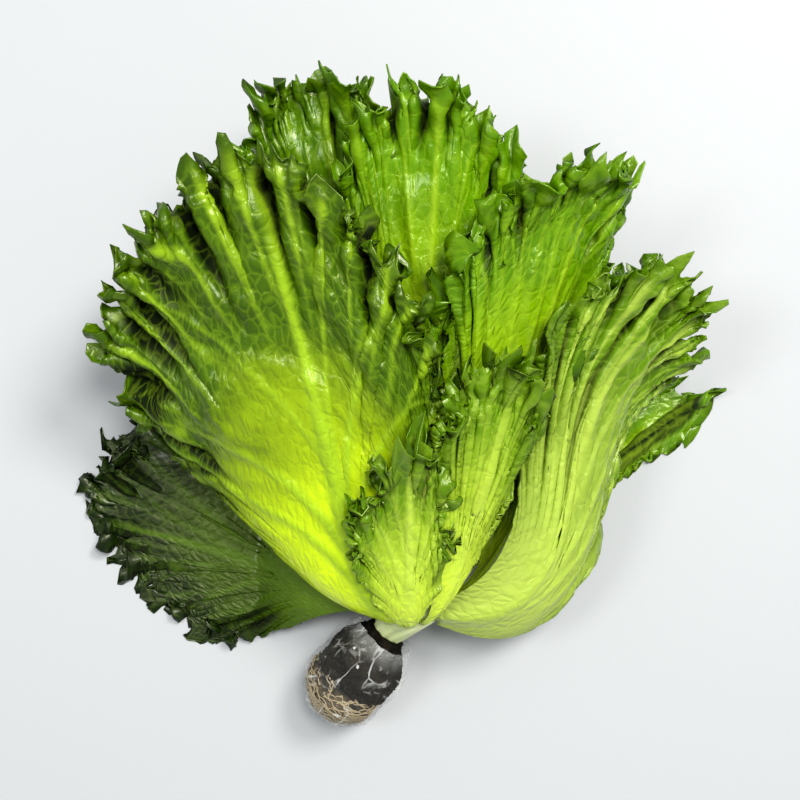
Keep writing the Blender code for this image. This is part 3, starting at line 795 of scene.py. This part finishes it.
# %% Finish
class Finish:
    """A material whose nodes are added one call at a time."""

    def __init__(self, name):
        self.material = bpy.data.materials.new(name)
        self.material.use_nodes = True
        self.tree = self.material.node_tree
        self.shader = self.tree.nodes["Principled BSDF"]

    def node(self, kind, settings=None, inputs=None, output=0):
        """Adds a node with these settings and inputs, and gives back one of its outputs."""
        made = self.tree.nodes.new(kind)
        for key, value in (settings or {}).items():
            setattr(made, key, value)
        for key, value in (inputs or {}).items():
            self.put(made.inputs[key], value)
        return Value(self, made.outputs[output])

    def put(self, socket, value):
        if isinstance(value, Value):
            self.tree.links.new(value.socket, socket)
        elif isinstance(value, (tuple, list)) and len(value) == 3 and len(socket.default_value) == 4:
            socket.default_value = (*value, 1)
        else:
            socket.default_value = value

    def number(self, name):
        return self.node("ShaderNodeAttribute", dict(attribute_name=name), output="Fac")

    def vector(self, name):
        return self.node("ShaderNodeAttribute", dict(attribute_name=name), output="Vector")

    def place(self):
        return self.node("ShaderNodeTexCoord", output="Object")

    def stretch(self, vector, factors):
        return self.node("ShaderNodeVectorMath", dict(operation="MULTIPLY"), {0: vector, 1: factors})

    def noise(self, scale, detail=3.0, rough=0.55, warp=0.0):
        return self.node("ShaderNodeTexNoise", None, {
            "Vector": self.place(), "Scale": scale, "Detail": detail, "Roughness": rough, "Distortion": warp})

    def cells(self, vector, scale, detail, stray):
        """Distance to the borders of cells over vector, which strays by a noise of this scale."""
        wobble = self.node("ShaderNodeTexNoise", None,
                           {"Vector": self.place(), "Scale": scale, "Detail": detail}, "Color")
        moved = self.node("ShaderNodeVectorMath", dict(operation="MULTIPLY_ADD"),
                          {0: wobble, 1: stray, 2: vector})
        return self.node("ShaderNodeTexVoronoi", dict(feature="DISTANCE_TO_EDGE"),
                         {"Vector": moved, "Scale": 1.0}, "Distance")

    def bump(self, strength, distance, height):
        return self.node("ShaderNodeBump", None,
                         {"Strength": strength, "Distance": distance, "Height": height})

    def mix(self, factor, a, b):
        made = self.tree.nodes.new("ShaderNodeMix")
        made.data_type = "RGBA"
        for socket, value in ((made.inputs["Factor"], factor), (made.inputs[6], a), (made.inputs[7], b)):
            self.put(socket, value)
        return Value(self, made.outputs[2])

    def set(self, **sockets):
        for key, value in sockets.items():
            self.put(self.shader.inputs[key.replace("_", " ")], value)
        return self.material


# %% [markdown]
# ## The leaf's finish
# A lollo bionda leaf is almost white where it leaves the stem, yellow-green up its ribs and fresh green in
# the blade. Deep inside the folds its colour is darkened as painted shade. Its blade is netted with fine
# veins. It is waxy and wet-looking, and some light goes into it, so the finish has a coat that fades in the
# pockets and a little scattering under the skin. A scan of a leaf would give all this at once, but painted
# from the stored attributes it fits any leaf's own ribs and folds.

# %% Leaf finish
def leaf_finish(name, base, blade, deep, rib_tone, rough=0.25, greens=(1.75, 0.42)):
    """greens says how fast the blade's green comes in along the leaf, and from where."""
    f = Finish(name)
    along, inset, rib, pocket = (f.number(key) for key in ("along", "inset", "rib", "pocket"))
    on_leaf = f.vector("on_leaf")
    patch = f.noise(38, 4, 0.6)
    grain = f.noise(620, 3, 0.65)
    fibre = f.node("ShaderNodeTexNoise", None, {
        "Vector": f.stretch(on_leaf, (230, 60, 1)), "Scale": 1.0, "Detail": 4.0, "Distortion": 0.9})
    cell = f.cells(f.stretch(on_leaf, (240, 140, 1)), 110.0, 2.0, (1.3, 1.3, 0.0))
    vein = (1 - cell * 7.0).clamp() * (along * 2.2 - 0.5).clamp()
    rise = (along * greens[0] + (patch - 0.5) * 0.5 - greens[1]).clamp()
    colour = f.mix(rise, base, blade)
    colour = f.mix((patch * 2.4 - 1.0).clamp() * 0.35 * rise, colour, deep)
    colour = f.mix(((0.10 - inset) * 7.0).clamp() * 0.30, colour, deep)
    # Painted shade: deep inside the folds the colour goes nearly black-green, where shade falls.
    colour = f.mix((pocket * 2.6 + (patch - 0.5) * 0.5 - 0.42).clamp(), colour, deep)
    colour = f.mix(vein * 0.20, colour, rib_tone)
    colour = f.mix((rib * 1.25 + (fibre - 0.5) * 0.3 - 0.1).clamp() * 0.85, colour, rib_tone)
    bump = f.bump(0.6, 0.0010, fibre * 0.12 + grain * 0.30 + (cell * 3.0).clamp() * 0.6)
    dull = (rough + (patch - 0.5) * 0.2 + pocket * 0.8).clamp()
    f.set(Base_Color=colour, Roughness=dull, Normal=bump)
    f.set(Coat_Weight=(0.35 - pocket * 1.2).clamp(), Coat_Roughness=0.18)
    f.set(Subsurface_Weight=0.12, Subsurface_Radius=(0.6, 1.0, 0.1), Subsurface_Scale=0.0018,
          Specular_IOR_Level=0.45, Specular_Tint=(1.0, 1.0, 0.62))
    return f.material


# %% [markdown]
# ## Which leaf has which green
# The outer leaf on the left glows yellow-green at its root, the top ones are a calmer green, the small
# ones in front are pale, and those in the shade of the head are painted nearly black-green as shade. One
# green with chance variation would be quicker, but the eye tells the leaves apart by these tones.

# %% Tones of the leaves
# deep is the darkest green: the leaf's own darker tone in patches and near the margin, and painted shade inside
# the folds.
BRIGHT = dict(base=(0.72, 0.95, 0.012), blade=(0.068, 0.145, 0.0003), deep=(0.002, 0.011, 0.0005),
              rib_tone=(0.36, 0.55, 0.02), greens=(2.3, 0.53))
FRESH = dict(base=(0.52, 0.72, 0.012), blade=(0.130, 0.290, 0.0005), deep=(0.003, 0.016, 0.0005),
             rib_tone=(0.36, 0.54, 0.02))
OLIVE = dict(base=(0.42, 0.58, 0.010), blade=(0.085, 0.195, 0.0005), deep=(0.003, 0.014, 0.0005),
             rib_tone=(0.30, 0.46, 0.015))
# Painted shade: a copy of the green darkened for the leaves that lie in the head's shade.
SHADED_GREEN = dict(base=(0.13, 0.23, 0.006), blade=(0.0035, 0.016, 0.0006), deep=(0.002, 0.009, 0.0005),
            rib_tone=(0.10, 0.19, 0.008), rough=0.42)
PALE = dict(base=(0.64, 0.82, 0.07), blade=(0.135, 0.270, 0.001), deep=(0.003, 0.016, 0.0005),
            rib_tone=(0.50, 0.66, 0.08))
STALK = dict(PALE, base=(0.46, 0.58, 0.10), rib_tone=(0.46, 0.60, 0.09))
TONES = {
    "leaf_left": BRIGHT, "leaf_right": STALK, "leaf_top": FRESH, "leaf_slant": FRESH, "leaf_top_left": OLIVE,
    "leaf_front": PALE, "leaf_pale": PALE, "leaf_mid_left": FRESH, "leaf_mid_right": FRESH,
    "leaf_far_left": SHADED_GREEN, "leaf_far_right": OLIVE, "leaf_under_left": SHADED_GREEN, "leaf_under_right": FRESH,
    "leaf_under_mid": OLIVE,
}
print(len(TONES), "leaves have a tone")

# %% [markdown]
# ## The fourteen broad leaves
# Now each broad leaf is made, rides on the head's one body and stands for its own solid. They could be
# joined into one mesh, but a leaf that is its own piece can be looked at, repainted or left out alone.

# %% Make the broad leaves
for name, leaf in LEAVES.items():
    tree = tree_of([n for n in LEAVES if n != name])
    piece = leaf_mesh(name + "_blade", leaf, tree)
    piece.data.materials.append(leaf_finish(name + "_skin", **TONES[name]))
    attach(piece, "root")
    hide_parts(name)
    print(name, len(piece.data.polygons) * 2, "triangles")

# %% [markdown]
# ## The heart
# In the middle the youngest leaves are still coiled round each other. Separate little leaves could be
# packed there, but only their margins show, so one leaf that is coiled more than once round, with six
# lobes and a hardly ruffled margin, stands for them all. Its own next turn is its nearest neighbour.

# %% Make the heart
coil_step = math.radians((HEART["lean"][4] - HEART["lean"][0]) * 360 / (HEART["wrap"][0] * 2))
piece = leaf_mesh("heart_blades", HEART, tree_of(list(LEAVES)), coil_step * FLAT_FAR)
piece.data.materials.append(leaf_finish("heart_skin", **BRIGHT))
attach(piece, "root")
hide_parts("heart")
print("heart", len(piece.data.polygons) * 2, "triangles")

# %% [markdown]
# ## The stem and the plug
# Below the leaves the stem is a pale, slightly ridged neck that goes down into a plug of peat. Roots have
# grown round the plug's lower end, and the grower has wrapped it all in a clear film. A lathe would make
# each of these too round and too straight. They are bodies of rings round the plug's slanted axis, so
# that each ring can be lumpy in its own way, and one small function closes them all.

# %% Rings round the plug
PLUG_TOP = np.array((-0.0025, -0.0990, 0.0285))
PLUG_END = np.array((-0.0295, -0.1353, 0.0150))
PLUG_RADIUS = 18.5 * MM
STEM_RADIUS = 12.3 * MM
FILM_GAP = 0.5 * MM
FILM_THICK = 0.7 * MM
AXIS = unit(PLUG_END - PLUG_TOP)
SIDE = unit(np.cross((0, 0, 1), AXIS))
RISE = np.cross(AXIS, SIDE)
SEGMENTS = 192
around = np.linspace(0, 2 * math.pi, SEGMENTS, endpoint=False)


def plug_radius(s, angle):
    shoulder = 0.52 + 0.48 * smooth(s / 0.35)
    end = np.where(s > 0.72, np.sqrt(np.clip(1 - ((s - 0.72) / 0.36) ** 2, 0.05, 1)), 1.0)
    lumps = 1 + 0.035 * np.sin(3 * angle + 9 * s) + 0.025 * np.sin(5 * angle - 14 * s + 1)
    return PLUG_RADIUS * shoulder * end * lumps


def plug_point(s, angle, radius):
    """The point at share s of the plug's length, at this angle and distance from its axis."""
    centre = PLUG_TOP + (PLUG_END - PLUG_TOP) * np.asarray(s)[..., None]
    spoke = np.cos(angle)[..., None] * RISE + np.sin(angle)[..., None] * SIDE
    return centre + np.asarray(radius)[..., None] * spoke


def ring_quads(rows, n):
    """Faces between rings of n points each."""
    i = np.arange(n)
    a = (np.arange(rows - 1)[:, None] * n + i[None]).ravel()
    b = (np.arange(rows - 1)[:, None] * n + ((i + 1) % n)[None]).ravel()
    return np.stack([a, b, b + n, a + n], 1)


def tube_object(name, rings):
    """A closed body from rings of points, its ends closed to their middles."""
    rows, n = rings.shape[:2]
    points = np.concatenate([rings.reshape(-1, 3), [rings[0].mean(0), rings[-1].mean(0)]])
    first, last, base = rows * n, rows * n + 1, (rows - 1) * n
    caps = [(k, first, (k + 1) % n) for k in range(n)]
    caps += [(base + k, base + (k + 1) % n, last) for k in range(n)]
    return new_object(name, points, ring_quads(rows, n).tolist() + caps, recalculate=True)


print("plug axis", AXIS.round(3))

# %% [markdown]
# ## The stem
# The crown where the leaves were is a blunt ridged dome, and it runs down into a neck about 16 mm thick.
# It is firm, wet, pale tissue, nearly white with a green cast. The dome is made in the head's own
# coordinates, so that the leaves' roots sit on it, and the neck's rings then lead over to the plug's axis.

# %% Make the stem
leans = np.radians(np.linspace(4, 108, 22))
turn, lean = np.meshgrid(around, leans)
ridges = 1 + 0.03 * np.cos(7 * turn + 1) + 0.02 * np.cos(12 * turn)
crown = head_place(STEM_RADIUS * ridges, turn, lean)
goal = PLUG_TOP - AXIS * 0.6 * MM
neck = []
for s in np.linspace(0.12, 1, 12):
    radius = (8.9 - 1.5 * s) * MM * (1 + 0.035 * np.cos(7 * around + 1) + 0.03 * np.cos(11 * around + 2 * s))
    centre = np.array(STEM_TOP) + (goal - np.array(STEM_TOP)) * (0.45 + 0.55 * s)
    spoke = np.cos(around)[:, None] * RISE + np.sin(around)[:, None] * SIDE
    neck.append(centre + radius[:, None] * spoke)
stem = tube_object("stem_neck", np.concatenate([crown, np.array(neck)]))
f = Finish("stem_flesh")
streak = f.noise(90, 4, 0.6)
pale = f.mix(streak, (0.76, 0.80, 0.50), (0.56, 0.66, 0.26))
bump = f.bump(0.4, 0.0005, f.noise(300, 3))
stem.data.materials.append(f.set(Base_Color=pale, Roughness=0.42 + (streak - 0.5) * 0.2, Normal=bump))
f.set(Subsurface_Weight=0.2, Subsurface_Radius=(0.6, 1.0, 0.3), Subsurface_Scale=0.003)
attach(stem, "root")
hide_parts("stem")
print("stem", len(stem.data.polygons), "faces")


# %% [markdown]
# ## Crumbs and threads from node trees
# Peat is a felt of crumbs, and roots are thin pale threads that wander over it. Thousands of crumbs by
# hand are out of the question, and particles would have to be converted. So one node tree drops crumbs
# on the faces of a body with a fixed seed, and a second gives a round section to paths. Both end in plain
# geometry with its material set.

# %% Helpers for node trees
def new_tree(name, inputs):
    tree = bpy.data.node_groups.new(name, "GeometryNodeTree")
    tree.interface.new_socket("Geometry", in_out="INPUT", socket_type="NodeSocketGeometry")
    tree.interface.new_socket("Geometry", in_out="OUTPUT", socket_type="NodeSocketGeometry")
    for key, kind in inputs.items():
        tree.interface.new_socket(key, in_out="INPUT", socket_type="NodeSocket" + kind)
    return tree, tree.nodes.new("NodeGroupInput"), tree.nodes.new("NodeGroupOutput")


def join(tree, links):
    for source, out, target, into in links:
        tree.links.new(source.outputs[out], target.inputs[into])


def run_tree(name, start, tree, values):
    """A plain mesh object from what the node tree makes of the object start, which is then removed."""
    modifier = start.modifiers.new("nodes", "NODES")
    modifier.node_group = tree
    names = {item.name: item.identifier for item in tree.interface.items_tree if item.in_out == "INPUT"}
    for key, value in values.items():
        modifier[names[key]] = value
    graph = bpy.context.evaluated_depsgraph_get()
    mesh = bpy.data.meshes.new_from_object(start.evaluated_get(graph))
    mesh.name = name
    old = start.data
    bpy.data.objects.remove(start)
    bpy.data.meshes.remove(old)
    shade_smooth(mesh)
    made = bpy.data.objects.new(name, mesh)
    bpy.context.scene.collection.objects.link(made)
    return made


# %% The tree that scatters crumbs
def crumb_tree():
    tree, given, result = new_tree(
        "scatter crumbs", {"Density": "Float", "Size": "Float", "Seed": "Int", "Material": "Material"})
    drop = tree.nodes.new("GeometryNodeDistributePointsOnFaces")
    crumb = tree.nodes.new("GeometryNodeMeshIcoSphere")
    crumb.inputs["Subdivisions"].default_value = 1
    place = tree.nodes.new("GeometryNodeInstanceOnPoints")
    spin = tree.nodes.new("FunctionNodeRandomValue")
    spin.data_type = "FLOAT_VECTOR"
    spin.inputs[1].default_value = (6.28, 6.28, 6.28)
    grow = tree.nodes.new("FunctionNodeRandomValue")
    grow.data_type = "FLOAT_VECTOR"
    grow.inputs[0].default_value = (0.35, 0.35, 0.3)
    grow.inputs[1].default_value = (1.7, 1.1, 0.9)
    real = tree.nodes.new("GeometryNodeRealizeInstances")
    paint = tree.nodes.new("GeometryNodeSetMaterial")
    both = tree.nodes.new("GeometryNodeJoinGeometry")
    join(tree, [
        (given, "Geometry", drop, "Mesh"), (given, "Density", drop, "Density"), (given, "Seed", drop, "Seed"),
        (given, "Size", crumb, "Radius"), (drop, "Points", place, "Points"), (crumb, "Mesh", place, "Instance"),
        (spin, "Value", place, "Rotation"), (grow, "Value", place, "Scale"),
        (place, "Instances", both, "Geometry"), (given, "Geometry", both, "Geometry"),
        (both, "Geometry", real, "Geometry"), (real, "Geometry", paint, "Geometry"),
        (given, "Material", paint, "Material"), (paint, "Geometry", result, "Geometry"),
    ])
    return tree


# %% The tree that rounds threads
def thread_tree():
    tree, given, result = new_tree("round threads", {"Radius": "Float", "Step": "Float", "Material": "Material"})
    curve = tree.nodes.new("GeometryNodeMeshToCurve")
    even = tree.nodes.new("GeometryNodeResampleCurve")
    even.mode = "LENGTH"
    ring = tree.nodes.new("GeometryNodeCurvePrimitiveCircle")
    ring.inputs["Resolution"].default_value = 5
    tube = tree.nodes.new("GeometryNodeCurveToMesh")
    tube.inputs["Fill Caps"].default_value = True
    real = tree.nodes.new("GeometryNodeRealizeInstances")
    paint = tree.nodes.new("GeometryNodeSetMaterial")
    join(tree, [
        (given, "Geometry", curve, "Mesh"), (curve, "Curve", even, "Curve"), (given, "Step", even, "Length"),
        (given, "Radius", ring, "Radius"), (even, "Curve", tube, "Curve"), (ring, "Curve", tube, "Profile Curve"),
        (tube, "Mesh", real, "Geometry"), (real, "Geometry", paint, "Geometry"),
        (given, "Material", paint, "Material"), (paint, "Geometry", result, "Geometry"),
    ])
    return tree


# %% [markdown]
# ## The peat
# The upper part of the plug is dark, damp peat with a few paler fibres in it. A bumpy material alone
# would keep a smooth outline, so the core itself is lumpy and crumbs of many sizes lie on it. Its noise
# runs back to its first value over the last bit of each ring, so that no seam shows.

# %% Make the peat
SPLIT = 0.60
HALF_GAP = 0.006
INSIDE_FLOOR = FILM_THICK + FILM_GAP


def closed_round(rough, angle):
    return np.where(angle > 6.0, rough * (2 * math.pi - angle) / 0.29, rough)


s, angle = np.meshgrid(np.linspace(0, SPLIT - HALF_GAP, 40), around, indexing="ij")
rough = patchy(s * 16, angle / (2 * math.pi) * 24, 900) + 0.6 * patchy(s * 34, angle / (2 * math.pi) * 56, 901)
rough = closed_round(rough, angle)
grid = plug_point(s, angle, plug_radius(s, angle) + (rough * 0.5 - 0.6) * MM)
grid[..., 2] = np.maximum(grid[..., 2], INSIDE_FLOOR)
core = tube_object("peat_core", grid)
f = Finish("peat")
lump = f.noise(260, 5, 0.65)
fleck = f.noise(900, 2, 0.5)
soil = f.mix(((lump - 0.35) * 2.2).clamp(), (0.005, 0.004, 0.003), (0.032, 0.025, 0.016))
soil = f.mix(((fleck - 0.66) * 9).clamp(), soil, (0.16, 0.12, 0.07))
bump = f.bump(0.8, 0.001, lump)
peat_paint = f.set(Base_Color=soil, Roughness=0.85, Specular_IOR_Level=0.12, Normal=bump)
peat = run_tree("peat_plug_crumbs", core, crumb_tree(),
                {"Density": 230000.0, "Size": 0.55 * MM, "Seed": 5, "Material": peat_paint})
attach(peat, "root")
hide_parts("peat_plug")
print("peat", len(peat.data.polygons), "faces")

# %% [markdown]
# ## The bed of matted roots
# At its lower end the plug is a mat of roots with peat between them. Under the threads lies a lumpy bed
# that is peat-dark near the split and root-brown further down. The stored share of the plug's length,
# "down", tells its finish where to change, which a pattern on plain coordinates couldn't do round a
# slanted plug.

# %% Make the root bed
s, angle = np.meshgrid(np.linspace(SPLIT + HALF_GAP, 1.02, 36), around, indexing="ij")
rough = closed_round(patchy(s * 20, angle / (2 * math.pi) * 30, 905), angle)
grid = plug_point(s, angle, plug_radius(s, angle) + (rough * 0.4 - 1.0) * MM)
grid[..., 2] = np.maximum(grid[..., 2], INSIDE_FLOOR)
mat = tube_object("root_bed", grid)
note(mat.data, "down", np.concatenate([s.ravel(), s.ravel()[:1], s.ravel()[-1:]]))
f = Finish("root_bed_paint")
blotch = f.noise(150, 5, 0.6, 0.8)
tan = f.mix(((blotch - 0.3) * 2.2).clamp(), (0.035, 0.028, 0.018), (0.24, 0.18, 0.10))
tan = f.mix(((f.number("down") - SPLIT) * 7.0 + (blotch - 0.5) * 2.0).clamp(), (0.012, 0.010, 0.006), tan)
bump = f.bump(0.8, 0.0008, f.noise(420, 4, 0.7, 1.5))
mat.data.materials.append(f.set(Base_Color=tan, Roughness=0.8, Normal=bump))
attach(mat, "root")
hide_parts("root_mat")
print("root bed", len(mat.data.polygons), "faces")

# %% [markdown]
# ## The root threads
# Single roots run over the bed and some climb onto the peat. Drawn curves would do for a few. For more
# than a hundred, each path is a seeded random walk in the plug's own length and angle, so it keeps to
# the surface, and the node tree then gives all of them their section.

# %% Make the root threads
STEPS = 26
rng = np.random.default_rng(31)
points, edges = [], []
for k in range(170):
    path_s = 0.62 + 0.42 * rng.random() ** 0.7 + np.cumsum(rng.normal(0, 0.012, STEPS))
    path_s = path_s + np.linspace(0, rng.normal(0, 0.10), STEPS)
    path_a = rng.random() * 2 * math.pi + np.cumsum(rng.normal(0, 0.05, STEPS))
    path_a = path_a + np.linspace(0, rng.normal(0, 1.1), STEPS)
    path_s = np.clip(path_s, 0.50 + 0.12 * rng.random(), 1.0)
    lift = 0.1 * MM * rng.random()
    line = plug_point(path_s, path_a, plug_radius(path_s, path_a) - 0.5 * MM + lift)
    line[:, 2] = np.maximum(line[:, 2], INSIDE_FLOOR + 0.3 * MM)
    start = len(points)
    points += line.tolist()
    edges += [(start + i, start + i + 1) for i in range(STEPS - 1)]
mesh = bpy.data.meshes.new("root_paths")
mesh.from_pydata(points, edges, [])
paths = bpy.data.objects.new("root_paths", mesh)
bpy.context.scene.collection.objects.link(paths)
f = Finish("root_threads_paint")
f.set(Base_Color=f.mix(f.noise(120, 3), (0.26, 0.20, 0.11), (0.52, 0.43, 0.28)), Roughness=0.6)
threads = run_tree("root_threads", paths, thread_tree(),
                   {"Radius": 0.26 * MM, "Step": 1.0 * MM, "Material": f.material})
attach(threads, "root")
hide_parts("root_mat")
print("root threads", len(threads.data.polygons), "faces")

# %% [markdown]
# ## The film
# The wrap is a soft clear film. It follows the plug at a small distance, is gathered in pleats, stands
# loose at its open mouth, is pinched together at its end, and is creased all over. Cloth simulation would
# crumple it too, but a film that is pulled tight keeps to the plug, so its creases are a noise folded
# into sharp ridges and added to the radius.

# %% The film's shape
s, angle = np.meshgrid(np.linspace(0.02, 1.02, 130), around, indexing="ij")
turns = angle / (2 * math.pi)


def creases(scale_s, scale_a, seed):
    return 1 - 2 * np.abs(patchy(s * scale_s + 3 * turns, turns * scale_a, seed))


FILM_WALL = 0.25 * MM
crease = 0.55 * creases(7, 12, 950) + 0.3 * creases(15, 26, 951) + 0.2 * creases(30, 48, 952)
pleat = np.cos(angle * 12 + 1.3 * np.sin(5 * s)) * 0.5 + 0.5
seam = smooth(np.minimum(angle, 2 * math.pi - angle) / 0.25)
loose = smooth((0.34 - s) / 0.34)
grow = 0.9 + 0.9 * pleat * (0.5 + 0.8 * loose) + 1.1 * np.maximum(crease, -0.4) * seam + 2.4 * loose
outer = plug_point(s, angle, plug_radius(s, angle) + np.maximum(grow, 0.5) * MM)
pinch = outer[-1] * 0.5 + outer[-1].mean(0) * 0.5 + AXIS * 1.6 * MM
outer = np.concatenate([outer, pinch[None]])
outer[..., 2] = np.maximum(outer[..., 2], 0.35 * MM)
facing = unit(outer - (PLUG_TOP + ((outer - PLUG_TOP) @ AXIS)[..., None] * AXIS))
inner = outer - facing * FILM_WALL
inner[..., 2] = np.maximum(inner[..., 2], 0.6 * MM)
print("film stands", round(float(grow.min()), 2), "to", round(float(grow.max()), 2), "mm off the plug")

# %% [markdown]
# ## The film's two walls
# A real film has a thickness, and light bends in it twice. A single sheet would render, but it isn't a
# body, so an outer and an inner wall are joined at the mouth and closed at the end. Three attributes go
# with it: how sharp the crease is, how near an end the point is, and its place along the plug's axis.

# %% Make the film
rows, n = outer.shape[:2]
total = rows * n
base, out_mid, in_mid = total - n, 2 * total, 2 * total + 1
quads = ring_quads(rows, n)
faces = quads.tolist() + (quads[:, ::-1] + total).tolist()
for k in range(n):
    after = (k + 1) % n
    faces.append((k, k + total, after + total, after))
for k in range(n):
    faces.append((base + k, base + (k + 1) % n, out_mid))
for k in range(n):
    faces.append((base + (k + 1) % n + total, base + k + total, in_mid))
points = np.concatenate([outer.reshape(-1, 3), inner.reshape(-1, 3), [outer[-1].mean(0), inner[-1].mean(0)]])
film = new_object("film_skin", points, faces, recalculate=True)
sharp = np.concatenate([np.clip(crease * seam, 0, 1), np.zeros((1, n))]).ravel()
note(film.data, "crease", np.concatenate([sharp, sharp, [0, 0]]))
near_end = np.maximum(smooth((s - 0.8) / 0.25), smooth((0.22 - s) / 0.2))
near_end = np.concatenate([near_end, np.ones((1, n))]).ravel()
note(film.data, "end", np.concatenate([near_end, near_end, [1, 1]]))
note(film.data, "on_plug", (points - PLUG_TOP) @ np.array([SIDE, RISE, AXIS]).T)
print("film", len(film.data.polygons), "faces")

# %% [markdown]
# ## The film's finish
# The film can be seen through, with the glint of crinkled plastic: hardly there between its creases and
# milky on them. Glass with refraction would be truer but noisy and slow, so the finish is a glossy skin
# whose Alpha is small, and higher along creases and along the borders of stretched cells. Small, nearly
# opaque whitish spots are painted glints.

# %% Clear film
f = Finish("clear_film")
haze = ((f.noise(60, 3, 0.5) - 0.56) * 2.4).clamp()
fold = f.cells(f.stretch(f.vector("on_plug"), (110, 110, 52)), 60.0, 1.0, (0.8, 0.8, 0.8))
line = (1 - fold * 26.0).clamp() * ((f.noise(75, 2, 0.5) - 0.42) * 5).clamp()
# Painted highlight: small, nearly opaque whitish spots on the film stand for glints.
painted_glint = ((f.noise(210, 2, 0.4) - 0.70) * 14).clamp()
milky_and_glint = (f.number("crease") * 1.6 - 1.1).clamp() * 0.3 + line * 0.4 + haze * 0.05
milky_and_glint = milky_and_glint + f.number("end") * 0.12 + painted_glint * 0.7
f.set(Base_Color=(0.84, 0.84, 0.80), Roughness=0.10, Alpha=(0.015 + milky_and_glint).clamp())
f.set(IOR=1.45, Specular_IOR_Level=0.5)
film.data.materials.append(f.material)
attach(film, "root")
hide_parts("film_wrap")
print("film finish", len(f.tree.nodes), "nodes")

# %% [markdown]
